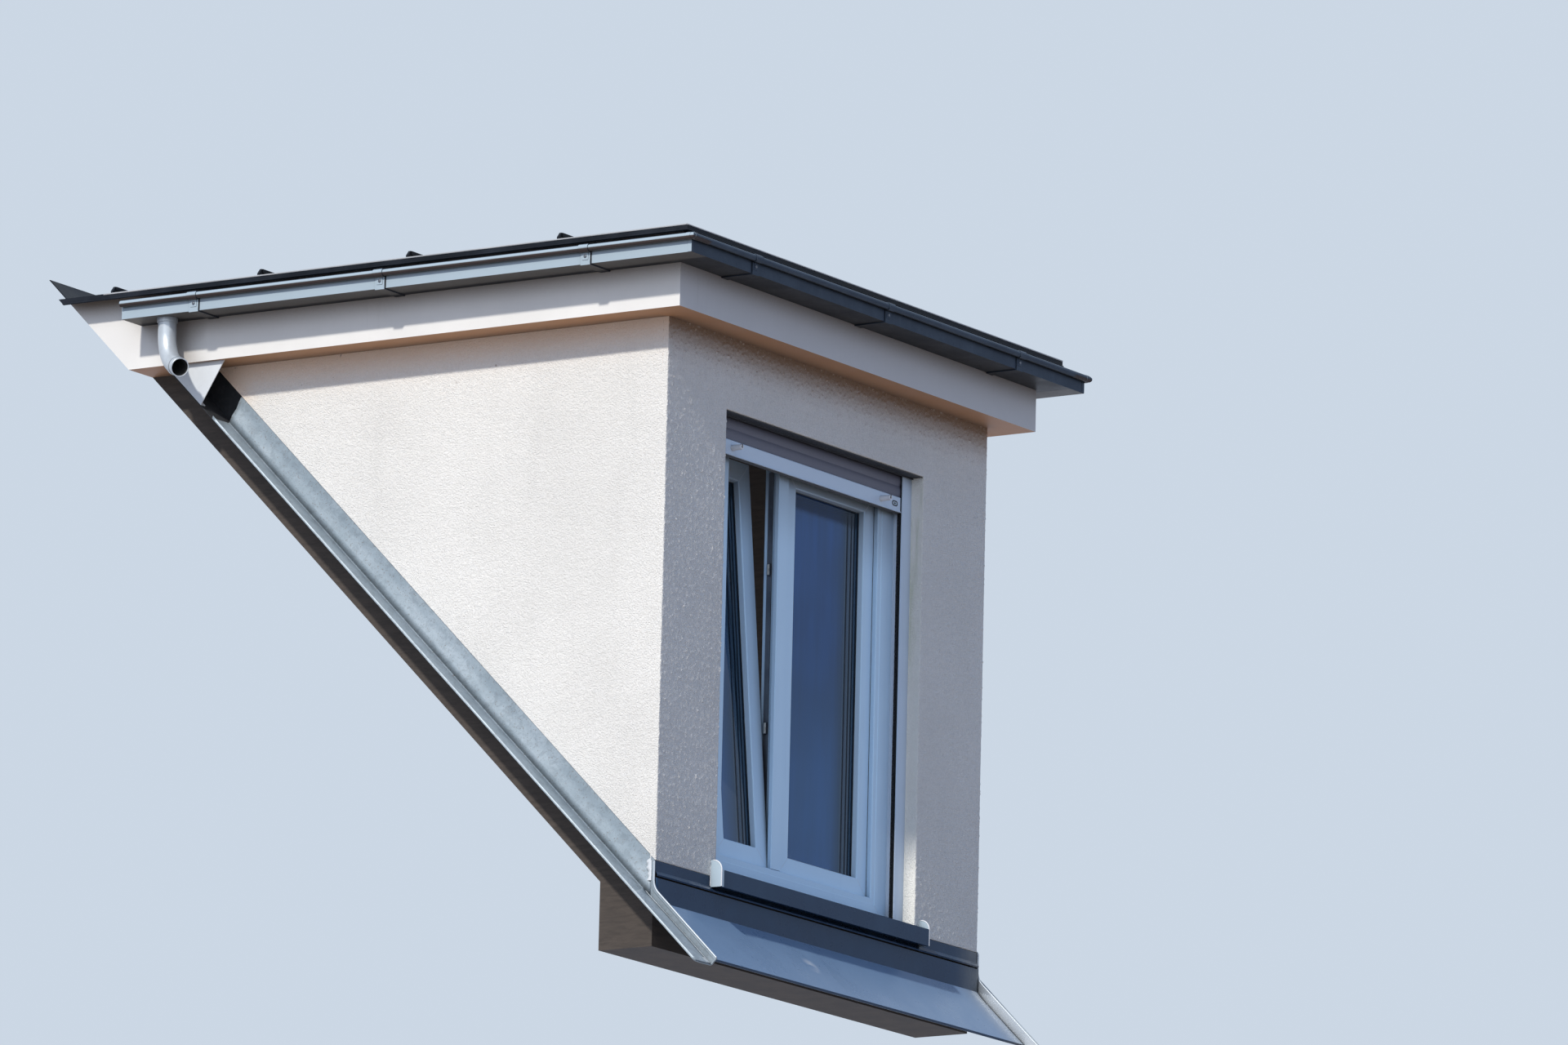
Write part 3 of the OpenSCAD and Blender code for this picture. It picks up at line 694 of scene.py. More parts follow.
@dataclass(frozen=True)
class MoldedFinish:
    """White frame plastic or coated aluminium, with faint dust and a soft gloss, painted shade where other
    parts stand close and, where set, painted shade of the window head above a height.
    """

    name: str
    color: Point3
    rough: float = 0.30
    dust: float = 0.10
    gloss: float = 0.5
    tint: Point3 = (1.0, 1.0, 1.0)
    painted_shade_from: float | None = None
    painted_head_shade: Point3 = (0.26, 0.22, 0.20)

    def make(self) -> bpy.types.Material:
        """Builds the material.

        Returns:
            The material.
        """
        t = Tree(self.name)
        cloud = t.noise(7.0, 4.0, 0.6)
        body = t.blend(cloud, tone(self.color, 0.965), tone(self.color, 1.02))
        runs = t.window(t.noise(30.0, 4.0, 0.6, Grain.UPRIGHT), 0.55, 0.78)
        body = t.stained(body, runs, self.dust, tone(self.color, 0.60))
        # painted shade of the window head: darker above this height
        if self.painted_shade_from is not None:
            high = t.window(t.height(), self.painted_shade_from, self.painted_shade_from + 0.26)
            body = t.stained(body, high, 0.62, toward(tone(self.color, 0.32), self.painted_head_shade, 0.5))
        # painted shade where other parts stand close
        t.put("Base Color", t.painted_corner_shade(body, tone(self.color, 0.14), 0.10, 0.85, 0.72, 0.12))
        t.put("Roughness", t.scaled(cloud, self.rough * 0.8, self.rough * 1.3))
        t.put("Specular IOR Level", self.gloss)
        t.put("Specular Tint", (*self.tint, 1.0))
        t.put("Normal", t.bump(t.noise(420.0, 2.0), 0.05, 0.0002))
        return t.material


@dataclass(frozen=True)
class PaneFinish:
    """Double glazing: dark blue, glossy and slightly wavy, so that the room shows only faintly; its blue, its
    upright bands, its lighter foot and its blue gloss are painted reflection.
    """

    name: str = "double_glazing"
    # painted reflection: the dark blue stands for the sky seen in the glass
    color: Point3 = (0.024, 0.088, 0.250)
    # painted reflection: darker upright bands
    band: Point3 = (0.022, 0.050, 0.100)
    # painted reflection: lighter towards the bottom
    low: Point3 = (0.070, 0.170, 0.310)
    # painted reflection: darker zone beside the right stile
    side: Point3 = (0.030, 0.052, 0.062)
    beside_line: Point3 = (0.085, 0.135, 0.150)
    line: Point3 = (0.005, 0.008, 0.013)
    # painted reflection: blue tint of the gloss
    gloss: Point3 = (0.28, 0.55, 1.0)
    see_through: float = 0.12
    edge: float = 0.368
    edge_apart: float = 0.592
    side_span: Point2 = (0.16, 0.05)
    # painted reflections: distances of the dark upright lines from the right stile
    lines: tuple[float, ...] = (0.007, 0.024, 0.042, 0.066)
    line_wide: float = 0.0026
    top_span: Point2 = (0.215, 0.19)

    def make(self) -> bpy.types.Material:
        """Builds the material.

        Returns:
            The material.
        """
        t = Tree(self.name)
        cloud = t.window(t.noise(1.6, 2.0, 0.5), 0.3, 0.7)
        body = t.blend(cloud, tone(self.color, 0.70), tone(self.color, 1.50))
        body = t.stained(body, t.window(t.noise(16.0, grain=Grain.UPRIGHT), 0.35, 0.65), 0.30, self.band)
        body = t.stained(body, t.window(t.height(), 1.30, 0.60), 0.55, self.low)
        body, dark = self.painted_reflections(t, body)
        t.put("Base Color", t.stained(body, dark, 0.9, self.line))
        t.put("Specular IOR Level", t.scaled(dark, 0.6, 0.1))
        t.put("Roughness", 0.03)
        t.put("IOR", 1.5)
        t.put("Specular Tint", (*self.gloss, 1.0))
        t.put("Alpha", 1.0 - self.see_through)
        t.put("Normal", t.bump(t.noise(3.2, 1.0), 0.12, 0.002))
        return t.material

    def painted_reflections(self, t: Tree, body: Socket) -> tuple[Socket, Socket]:
        """Adds painted reflections: the upright lines that the layers of glass show beside the right stile of
        each sash, and the darker zone beside them.

        Args:
            t: the node tree.
            body: colour of the glass.

        Returns:
            The colour, and the factor of the dark lines and the painted dark top.
        """
        apart = self.edge_apart
        inward = t.math("FRACT", t.math("DIVIDE", t.math("SUBTRACT", t.height(0), self.edge), apart))
        side = t.window(inward, *(1.0 - off / apart for off in self.side_span))
        body = t.stained(body, side, 0.85, self.side)
        # painted reflection: dark top of the pane under the head
        top = t.window(t.height(), *(PLACE.open_head - off for off in self.top_span))
        dark = t.scaled(top, 0.0, 0.75)
        wide = self.line_wide / apart
        for off in self.lines:
            mark = 1.0 - off / apart
            dark = t.math("MAXIMUM", dark, t.between(inward, mark - wide, mark + wide, wide))
            beside = t.between(inward, mark - 4.0 * wide, mark - 3.0 * wide, wide)
            body = t.stained(body, beside, 0.5, self.beside_line)
        return body, dark


@dataclass(frozen=True)
class TimberFinish:
    """Sawn softwood with long grain."""

    name: str
    color: Point3
    dark: Point3
    grain: Grain = Grain.ALONG_X

    def make(self) -> bpy.types.Material:
        """Builds the material.

        Returns:
            The material.
        """
        t = Tree(self.name)
        rings = t.noise(70.0, 5.0, 0.65, self.grain, warp=0.4)
        body = t.blend(t.window(rings, 0.35, 0.68), self.color, self.dark)
        t.put("Base Color", t.stained(body, t.noise(4.0), 0.35, tone(self.dark, 0.8)))
        t.put("Roughness", 0.78)
        t.put("Normal", t.bump(rings, 0.25, 0.001))
        return t.material


@dataclass(frozen=True)
class SoftFinish:
    """Matt rubber, brush or bitumen with a fine broken grain."""

    name: str
    color: Point3
    light: Point3
    scale: float = 220.0
    rough: float = 0.85

    def make(self) -> bpy.types.Material:
        """Builds the material.

        Returns:
            The material.
        """
        t = Tree(self.name)
        grit = t.noise(self.scale)
        t.put("Base Color", t.blend(t.window(grit, 0.4, 0.72), self.color, self.light))
        t.put("Roughness", self.rough)
        t.put("Normal", t.bump(grit, 0.3, 0.0006))
        return t.material


@dataclass(frozen=True)
class PlasterFinish:
    """Smooth inner walls and ceiling with a rolled paint texture."""

    name: str
    color: Point3

    def make(self) -> bpy.types.Material:
        """Builds the material.

        Returns:
            The material.
        """
        t = Tree(self.name)
        t.put("Base Color", t.blend(t.noise(2.5, 4.0), tone(self.color, 0.94), tone(self.color, 1.03)))
        t.put("Roughness", 0.9)
        t.put("Normal", t.bump(t.noise(130.0), 0.2, 0.0008))
        return t.material


@dataclass
class Palette:
    """Every finish of the dormer, by the record's material slot."""

    made: dict[str, bpy.types.Material] = field(default_factory=dict)
    # painted light: the outlets, end gussets and right ear take lighter finishes for their lit faces
    apart: dict[str, str] = field(default_factory=lambda: {
        "outlet_left": "lit_zinc", "outlet_right": "lit_zinc", "end_gussets": "gusset_sheet",
        "corner_ear_right": "lit_zinc"})

    def build(self) -> None:
        """Makes one material for each slot, and the extra ones of the scene's own pieces."""
        finishes = {
            # painted shade: the inner wall boards and the ceiling are darkened for the dark of the closed room
            "wall_core": TimberFinish(
                "wall_boards", (0.070, 0.054, 0.042), (0.042, 0.032, 0.025), Grain.LEVEL),
            "render": RenderFinish(),
            "ceiling_board": PlasterFinish("ceiling_paint", (0.25, 0.24, 0.22)),
            "timber": TimberFinish("sawn_timber", (0.56, 0.40, 0.24), (0.36, 0.23, 0.12)),
            "roof_metal": SheetFinish(
                "roof_sheet_metal", (0.008, 0.010, 0.014), (0.026, 0.031, 0.042), 0.0, 0.50, gloss=0.12),
            "cream_board": BoardFinish(),
            # painted shade and light: the dark colour stands for the gutter in shade, sides for its lit outer
            # faces
            "gutter_zinc": SheetFinish(
                "gutter_sheet", (0.047, 0.063, 0.088), (0.10, 0.125, 0.155), 0.0, 0.42, gloss=0.08,
                tint=(0.6, 0.8, 1.0), sides=(0.36, 0.43, 0.47)),
            "bright_zinc": SheetFinish(
                "bright_zinc_sheet", (0.275, 0.33, 0.365), (0.40, 0.455, 0.495), 0.16, 0.46, 0.16, 0.62, 45.0,
                corner_shade_share=0.45),
            # painted light: lighter copy of the bright zinc for the lit outlets and right ear
            "lit_zinc": SheetFinish(
                "pale_zinc_sheet", (0.50, 0.54, 0.57), (0.66, 0.69, 0.71), 0.35, 0.34, 0.08),
            # painted sky light: the white frame takes a light blue colour and a blue gloss
            "white_frame": MoldedFinish(
                "white_frame_plastic", (0.66, 0.85, 1.0), gloss=0.8, tint=(0.35, 0.65, 1.0), painted_shade_from=1.40),
            "pane": PaneFinish(),
            "hardware": SheetFinish("plated_hardware", (0.12, 0.13, 0.15), (0.28, 0.29, 0.31), 0.5, 0.36),
            "white_trim": MoldedFinish("white_trim_plastic", (0.82, 0.82, 0.82), 0.42, 0.16),
            # painted shade: the slat grey is darkened for the shade under the window head
            "shutter_gray": MoldedFinish("gray_slat_coating", (0.16, 0.16, 0.195), 0.45, 0.20, 0.3),
            # painted sky light: the white aluminium takes a blue-grey colour and a blue gloss
            "shutter_white": MoldedFinish(
                "white_aluminium", (0.66, 0.75, 0.84), 0.34, 0.14, 0.7, (0.4, 0.68, 1.0)),
            "underlay": SoftFinish(
                "black_sealing_strip", (0.010, 0.011, 0.013), (0.020, 0.021, 0.024), 60.0),
            # painted light: the apron's slope takes a lighter colour
            "blue_sheet": SheetFinish(
                "slate_blue_sheet", (0.018, 0.040, 0.080), (0.036, 0.068, 0.118), 0.0, 0.30, gloss=0.26,
                tint=(0.35, 0.6, 1.0), dust_from=0.80, painted_lit_slope=(0.17, 0.262, 0.395), streaks=0.06,
                scuff=(-0.19, -0.216, 0.044)),
        }
        finishes |= {
            "seal": SoftFinish("joint_seal", (0.008, 0.008, 0.010), (0.03, 0.03, 0.035)),
            "gasket": SoftFinish("rubber_gasket", (0.010, 0.010, 0.012), (0.035, 0.035, 0.038), 400.0, 0.6),
            "brush": SoftFinish("brush_bristles", (0.008, 0.008, 0.010), (0.024, 0.025, 0.030), 900.0),
            "weld": SoftFinish("weld_shade", (0.66, 0.69, 0.74), (0.74, 0.77, 0.82)),
            "solder": SheetFinish("solder", (0.66, 0.68, 0.69), (0.84, 0.85, 0.85), 0.15, 0.36, dents=0.0015),
            "cam_metal": SheetFinish("cam_metal", (0.70, 0.68, 0.60), (0.82, 0.80, 0.72), 0.2, 0.35),
            "rivet_metal": SheetFinish("rivet_metal", (0.11, 0.12, 0.14), (0.20, 0.22, 0.25), 0.3, 0.40),
            # painted light: the end gussets are lighter than the other zinc
            "gusset_sheet": SheetFinish(
                "gusset_sheet", (0.62, 0.64, 0.65), (0.70, 0.72, 0.72), 0.0, 0.45, corner_shade_share=0.5),
            # painted highlight: the hems are lighter than the zinc they are folded from
            "painted_hem_highlight": SheetFinish("painted_hem_highlight", (0.48, 0.52, 0.55), (0.60, 0.64, 0.66), 0.15, 0.40),
            # painted shade: the dark inner face of the outlet pipes
            "painted_pipe_shade": SoftFinish("outlet_inner_shade", (0.020, 0.019, 0.018), (0.050, 0.046, 0.042), 120.0),
            "cap_metal": MoldedFinish("cap_aluminium", (0.47, 0.57, 0.63), 0.35, 0.12),
            "sealant": MoldedFinish("sealant_bead", (0.62, 0.63, 0.64), 0.5, 0.2),
            # painted highlight: the rolled roof edge is light grey against the dark sheet
            "painted_edge_highlight": SheetFinish("edge_highlight_metal", (0.40, 0.40, 0.40), (0.56, 0.55, 0.54), 0.2, 0.38),
        }
        for name, finish in finishes.items():
            self.made[name] = finish.make()

    def dress_frame(self, frame: dict) -> None:
        """Gives every CAD node the finish of its slot.
        """
        for part in frame["record"]["subparts"]:
            piece = frame["nodes"][part["node"]]
            finish = self.apart.get(part["node"], part["material_slot"])
            for slot in piece.material_slots:
                slot.material = self.made[finish]


# Mesh building


class Axis(Enum):
    """Direction in which a profile is drawn out."""

    X = 0
    Y = 1
    Z = 2


def turns(count: int, shift: float = 0.0) -> list[float]:
    """Angles evenly round a circle, the first one moved on by a share of a step."""
    return [2.0 * math.pi * (k + shift) / count for k in range(count)]


def heading(a: Point2, b: Point2) -> Point2:
    """Direction from one point of a profile to the next."""
    length = math.hypot(b[0] - a[0], b[1] - a[1])
    return ((b[0] - a[0]) / length, (b[1] - a[1]) / length)


def folded(path: Sequence[Point2], t: float) -> list[Point2]:
    """Outline of a sheet folded along a path, with its thickness to the left.

    Args:
        path: the near side of the sheet.
        t: its thickness.

    Returns:
        The closed outline.
    """
    far = []
    for i, point in enumerate(path):
        before = heading(path[max(i - 1, 0)], path[max(i, 1)])
        after = heading(path[i], path[i + 1]) if i + 1 < len(path) else before
        mid = (before[0] + after[0], before[1] + after[1])
        k = 2.0 * t / (mid[0] ** 2 + mid[1] ** 2)
        far.append((point[0] - mid[1] * k, point[1] + mid[0] * k))
    return [*path, *reversed(far)]


def grown(box: tuple[Point2, Point2], by: float) -> tuple[Point2, Point2]:
    """Rectangle made larger on all four sides."""
    return tuple(v - by for v in box[0]), tuple(v + by for v in box[1])


class Form:
    """Mesh of one piece while it is being built."""

    soft_angle = math.radians(36.0)

    def __init__(self, name: str) -> None:
        """Starts an empty mesh.

        Args:
            name: name of the piece.
        """
        self.name = name
        self.mesh = bmesh.new()

    def prism(
        self, outline: Sequence[Point2], low: float, high: float, axis: Axis = Axis.X,
        place: Matrix | None = None,
    ) -> None:
        """Draws an outline out along an axis.

        Args:
            outline: points in the two other axes, in their order.
            low: start along the axis.
            high: end along the axis.
            axis: the axis.
            place: where the prism goes.
        """
        place = place or Matrix()
        rings = []
        for w in (low, high):
            spots = [[*spot[:axis.value], w, *spot[axis.value:]] for spot in outline]
            rings.append([self.mesh.verts.new(place @ Vector(spot)) for spot in spots])
        self.capped(rings)

    def box(self, low: Sequence[float], high: Sequence[float], place: Matrix | None = None) -> None:
        """Adds a block given by two corners.

        Args:
            low: lowest corner.
            high: highest corner.
            place: where the block goes.
        """
        outline = [(low[1], low[2]), (high[1], low[2]), (high[1], high[2]), (low[1], high[2])]
        self.prism(outline, low[0], high[0], Axis.X, place)

    def skin(self, rings: Sequence[Sequence[bmesh.types.BMVert]], closed: bool) -> None:
        """Joins rings of points with faces.

        Args:
            rings: rings with the same number of points.
            closed: whether the last point of a ring joins its first.
        """
        count = len(rings[0])
        for a, b in zip(rings, rings[1:]):
            for i in range(count if closed else count - 1):
                j = (i + 1) % count
                self.mesh.faces.new((a[i], a[j], b[j], b[i]))

    def capped(self, rings: Sequence[Sequence[bmesh.types.BMVert]]) -> None:
        """Joins closed rings with faces and closes both ends.

        Args:
            rings: rings with the same number of points.
        """
        self.skin(rings, closed=True)
        for ring in (rings[0], rings[-1]):
            self.mesh.faces.new(ring)

    def circle(
        self, mid: Vector, side: Vector, other: Vector, radius: float, count: int,
    ) -> list[bmesh.types.BMVert]:
        """Adds a circle of points.

        Args:
            mid: its middle.
            side: one direction in its plane.
            other: the direction square to it.
            radius: its radius.
            count: number of points.

        Returns:
            The points.
        """
        new = self.mesh.verts.new
        return [new(mid + radius * (math.cos(a) * side + math.sin(a) * other)) for a in turns(count)]

    def tube(self, points: Sequence[Vector], radius: float, sides: int = 12, loop: bool = False) -> None:
        """Sweeps a circle along points.

        Args:
            points: the middle line.
            radius: radius of the circle.
            sides: points of the circle.
            loop: whether the line closes on itself.
        """
        count = len(points)
        side = None
        rings = []
        for i, point in enumerate(points):
            ahead = points[(i + 1) % count] if loop else points[min(i + 1, count - 1)]
            behind = points[i - 1] if loop or i else points[0]
            way = (ahead - behind).normalized()
            if side is None:
                side = way.orthogonal().normalized()
            side = (side - way * side.dot(way)).normalized()
            rings.append(self.circle(point, side, way.cross(side), radius, sides))
        if loop:
            self.skin([*rings, rings[0]], closed=True)
        else:
            self.capped(rings)

    def turned(
        self, profile: Sequence[Point2], at: Sequence[float], way: Sequence[float], sides: int = 16,
    ) -> None:
        """Turns a profile round an axis, such as for a rivet.

        Args:
            profile: radius and height pairs, from the base to the tip.
            at: middle of the base.
            way: direction of the axis.
            sides: points of each ring.
        """
        axis = Vector(way).normalized()
        side = axis.orthogonal().normalized()
        other = axis.cross(side)
        self.capped([
            self.circle(Vector(at) + axis * height, side, other, radius, sides)
            for radius, height in profile])

    def rivet(self, at: Sequence[float], way: Sequence[float], radius: float, height: float) -> None:
        """Adds a domed head.

        Args:
            at: middle of its base.
            way: direction in which it stands out.
            radius: radius of the head.
            height: how far it stands out.
        """
        angles = [math.pi * k / 10.0 for k in range(5)]
        dome = [(radius * math.cos(a), height * (0.3 + 0.7 * math.sin(a))) for a in angles]
        self.turned([(radius, 0.0), *dome], at, way)

    def ring(
        self, outer: tuple[Point2, Point2], inset: float, low: float, high: float,
        place: Matrix | None = None,
    ) -> None:
        """Adds four bars round a rectangle in X and Z, mitred at the corners.

        Args:
            outer: lowest and highest corner in X and Z.
            inset: width of the bars.
            low: start in Y.
            high: end in Y.
            place: where the ring goes.
        """
        a, b = (
            [(x0, z0), (x1, z0), (x1, z1), (x0, z1)] for (x0, z0), (x1, z1) in (outer, grown(outer, -inset)))
        for i in range(4):
            j = (i + 1) % 4
            self.prism([a[i], a[j], b[j], b[i]], low, high, Axis.Y, place)

    def done(
        self, material: bpy.types.Material, slot: str, stands_for: Sequence[str] = (),
        bevel: float = 0.0, smooth: bool = False, thick: float = 0.0,
    ) -> bpy.types.Object:
        """Turns the mesh into a piece of the part.

        Args:
            material: its finish.
            slot: the record's slot that the finish belongs to; not used.
            stands_for: CAD nodes that it replaces.
            bevel: width of its rounded edges.
            smooth: whether its faces shade smoothly.
            thick: thickness given to an open sheet.

        Returns:
            The piece.
        """
        bmesh.ops.recalc_face_normals(self.mesh, faces=self.mesh.faces)
        data = bpy.data.meshes.new(self.name)
        self.mesh.to_mesh(data)
        self.mesh.free()
        data.materials.append(material)
        piece = bpy.data.objects.new(self.name, data)
        bpy.context.collection.objects.link(piece)
        if smooth or bevel:
            data.shade_smooth()
            data.set_sharp_from_angle(angle=self.soft_angle)
        if thick:
            shell = piece.modifiers.new("sheet", "SOLIDIFY")
            shell.thickness = thick
            shell.offset = 0.0
        if bevel:
            edge = piece.modifiers.new("edges", "BEVEL")
            edge.width = bevel
            edge.segments = 2
            edge.limit_method = "ANGLE"
            edge.angle_limit = self.soft_angle
        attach(piece, ROOT)
        if stands_for:
            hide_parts(*stands_for)
        LOG.info("%s: %d faces", self.name, len(data.polygons))
        return piece


def ripple(point: Sequence[float], scale: float, depth: float, seed: float = 0.0) -> float:
    """Smooth unevenness of hand-bent sheet.

    Args:
        point: where on the sheet.
        scale: waves per metre.
        depth: height of the waves in metres.
        seed: shift of the pattern.

    Returns:
        How far the sheet stands off there.
    """
    return depth * noise.noise(Vector(point) * scale + Vector((seed, seed * 1.7, -seed)))


# Pieces


@dataclass
class RenderCoat:
    """Rough render on the front and both cheeks, grain by grain, with soft arrises."""

    palette: Palette
    cell: float = 0.0048
    relief: float = 0.0006
    stone_level: float = 0.22
    stone_height: float = 0.0058
    flank_stones: float = 0.35
    arris: float = 0.0025
    skin: float = 0.020
    foot: float = 0.270
    return_depth: float = 0.045
    head_depth: float = 0.040
    return_thick: float = 0.015
    sill_bed: float = 0.006
    rim_steps: int = 4
    return_steps: int = 10
    grain_scale: float = 104.0
    stone_scale: float = 175.0
    wave_scale: float = 2.6
    wave: float = 0.0009

    def build(self) -> None:
        """Makes the three coats."""
        self.front()
        for side in Side:
            self.cheek(side)

    def swell(self, point: Vector, stones: float = 1.0) -> float:
        """Height of the grain at a point of the face.

        Args:
            point: where on the face.
            stones: share of the coarse stones that stand out there.

        Returns:
            How far the coat stands off.
        """
        grain = noise.noise(point * self.grain_scale)
        stone = max(0.0, noise.noise(point * self.stone_scale + Vector((7.0, 3.0, 1.0))) - self.stone_level)
        wave = noise.noise(point * self.wave_scale + Vector((2.0, 9.0, 4.0)))
        return self.relief * grain + self.stone_height * stones * stone + self.wave * wave

    def lines(self, marks: Sequence[float]) -> tuple[list[float], tuple[int, int]]:
        """Grid lines about a cell apart that pass through every mark.

        Args:
            marks: start, start of the opening, end of the opening and end.

        Returns:
            The lines, and the places of the two middle marks among them.
        """
        out, found = [marks[0]], []
        for a, b in zip(marks, marks[1:]):
            count = max(1, round((b - a) / self.cell))
            out += [a + (b - a) * k / count for k in range(1, count + 1)]
            found.append(len(out) - 1)
        return out, (found[0], found[1])

    def front(self) -> None:
        """Makes the front coat with its returns into the window opening."""
        form = Form("front_render_coat")
        face, r, half = PLACE.render_face, self.arris, PLACE.half_wall
        hole = (PLACE.open_left, PLACE.open_right, PLACE.open_foot - self.sill_bed, PLACE.open_head)
        xs, columns = self.lines([-half + r, hole[0] - r, hole[1] + r, half - r])
        zs, rows = self.lines([self.foot + r, hole[2] - r, hole[3] + r, PLACE.soffit])
        grid = {}
        for i, x in enumerate(xs):
            for j, z in enumerate(zs):
                if columns[0] < i < columns[1] and rows[0] < j < rows[1]:
                    continue
                point = Vector((x, face, z))
                grid[i, j] = form.mesh.verts.new(point - Vector((0.0, self.swell(point), 0.0)))
        for i in range(len(xs) - 1):
            for j in range(len(zs) - 1):
                if columns[0] <= i < columns[1] and rows[0] <= j < rows[1]:
                    continue
                form.mesh.faces.new((grid[i, j], grid[i + 1, j], grid[i + 1, j + 1], grid[i, j + 1]))
        outer = self.loop((0, len(xs) - 1), (0, len(zs) - 1))
        steps = self.fold(self.skin, self.rim_steps)
        rim = self.sweep(form, grid, outer, (-half + r, half - r, self.foot + r, PLACE.soffit), steps, 1.0)
        deep, thick = self.return_depth, self.return_thick
        steps = [*self.fold(deep, self.return_steps), (-thick, deep), (-thick, self.skin)]
        limits = (hole[0] - r, hole[1] + r, hole[2] - r, hole[3] + r)
        jamb = self.sweep(form, grid, self.loop(columns, rows), limits, steps, -1.0)
        edges = [e for ring in (rim, jamb) for e in self.ring_edges(form, ring)]
        bmesh.ops.triangle_fill(form.mesh, use_beauty=True, edges=edges, normal=(0.0, 1.0, 0.0))
        form.done(self.palette.made["render"], "render", ("front_render",), smooth=True)

    def fold(self, depth: float, count: int) -> list[Point2]:
        """Steps round the arris and straight back.

        Args:
            depth: how far back the last step lies.
            count: steps behind the arris.

        Returns:
            Distance out and depth of each step.
        """
        r = self.arris
        steps = [r + (depth - r) * k / count for k in range(1, count + 1)]
        return [(0.71 * r, 0.29 * r), (r, r), *((r, step) for step in steps)]

    @staticmethod
    def loop(columns: tuple[int, int], rows: tuple[int, int]) -> list[tuple[int, int]]:
        """Grid keys round a rectangle, one after the other.

        Args:
            columns: first and last column.
            rows: first and last row.

        Returns:
            The keys.
        """
        (a, b), (c, d) = columns, rows
        return [*((i, c) for i in range(a, b)), *((b, j) for j in range(c, d)),
                *((i, d) for i in range(b, a, -1)), *((a, j) for j in range(d, c, -1))]

    @staticmethod
    def ring_edges(form: Form, ring: Sequence[bmesh.types.BMVert]) -> list[bmesh.types.BMEdge]:
        """Edges between the neighbours of a closed ring."""
        return [form.mesh.edges.get((a, b)) for a, b in zip(ring, [*ring[1:], ring[0]])]

    def sweep(
        self, form: Form, grid: dict, keys: Sequence[tuple[int, int]], box: Sequence[float],
        steps: Sequence[Point2], way: float,
    ) -> list[bmesh.types.BMVert]:
        """Folds the face's edge back into the wall.

        Args:
            form: the mesh.
            grid: points of the face.
            keys: keys of the edge's points in order.
            box: the edge's left, right, lower and upper limit.
            steps: distance out from the edge and depth back, ring by ring.
            way: 1 where out is away from the middle of the face, -1 at the opening.

        Returns:
            The last ring.
        """
        ring = [grid[k] for k in keys]
        base = [v.co.copy() for v in ring]
        left, right, low, high = box
        tiny = 1e-5
        for out, depth in steps:
            fresh = []
            for point in base:
                above = point.z > high - tiny and way < 0
                side = Vector((
                    (point.x > right - tiny) - (point.x < left + tiny), 0.0, above - (point.z < low + tiny)))
                limit = self.head_depth if above else self.return_depth
                spot = Vector((point.x, PLACE.render_face + min(depth, limit), point.z)) + side * way * out
                if 0.0 < out and depth < (self.skin if way > 0 else limit):
                    lean = Vector((0.0, -1.0, 0.0)) if depth < self.arris else side * way
                    spot += lean * self.swell(spot, 0.0)
                fresh.append(form.mesh.verts.new(spot))
            form.skin([ring, fresh], closed=True)
            ring = fresh
        return ring

    def cheek(self, side: Side) -> None:
        """Makes the three-cornered coat of one cheek.

        Args:
            side: which flank.
        """
        name = f"{side.name.lower()}_render"
        form = Form(f"{name}_coat")
        reach = PLACE.soffit - self.foot - self.skin
        count = round(reach / self.cell)
        step = reach / count
        rings = {0.0: {}, self.skin: {}}
        for depth, points in rings.items():
            for i in range(count + 1):
                for j in range(i, count + 1):
                    if depth and 0 < i < j < count:
                        continue
                    y = PLACE.render_face + self.skin + i * step
                    z = self.foot + self.skin + j * step
                    point = Vector((side.value * (PLACE.half_wall - depth), y, z))
                    if not depth:
                        point.x += side.value * self.swell(point, self.flank_stones)
                    points[i, j] = form.mesh.verts.new(point)
        face, back = rings[0.0], rings[self.skin]
        for i in range(count):
            form.mesh.faces.new((face[i, i], face[i + 1, i + 1], face[i, i + 1]))
            for j in range(i + 1, count):
                form.mesh.faces.new((face[i, j], face[i + 1, j], face[i + 1, j + 1], face[i, j + 1]))
        keys = [*((i, i) for i in range(count)), *((i, count) for i in range(count, 0, -1)),
                *((0, j) for j in range(count, 0, -1))]
        form.skin([[face[k] for k in keys], [back[k] for k in keys]], closed=True)
        edges = self.ring_edges(form, [back[k] for k in keys])
        bmesh.ops.triangle_fill(form.mesh, use_beauty=True, edges=edges, normal=(-side.value, 0.0, 0.0))
        form.done(self.palette.made["render"], "render", (name,), smooth=True)


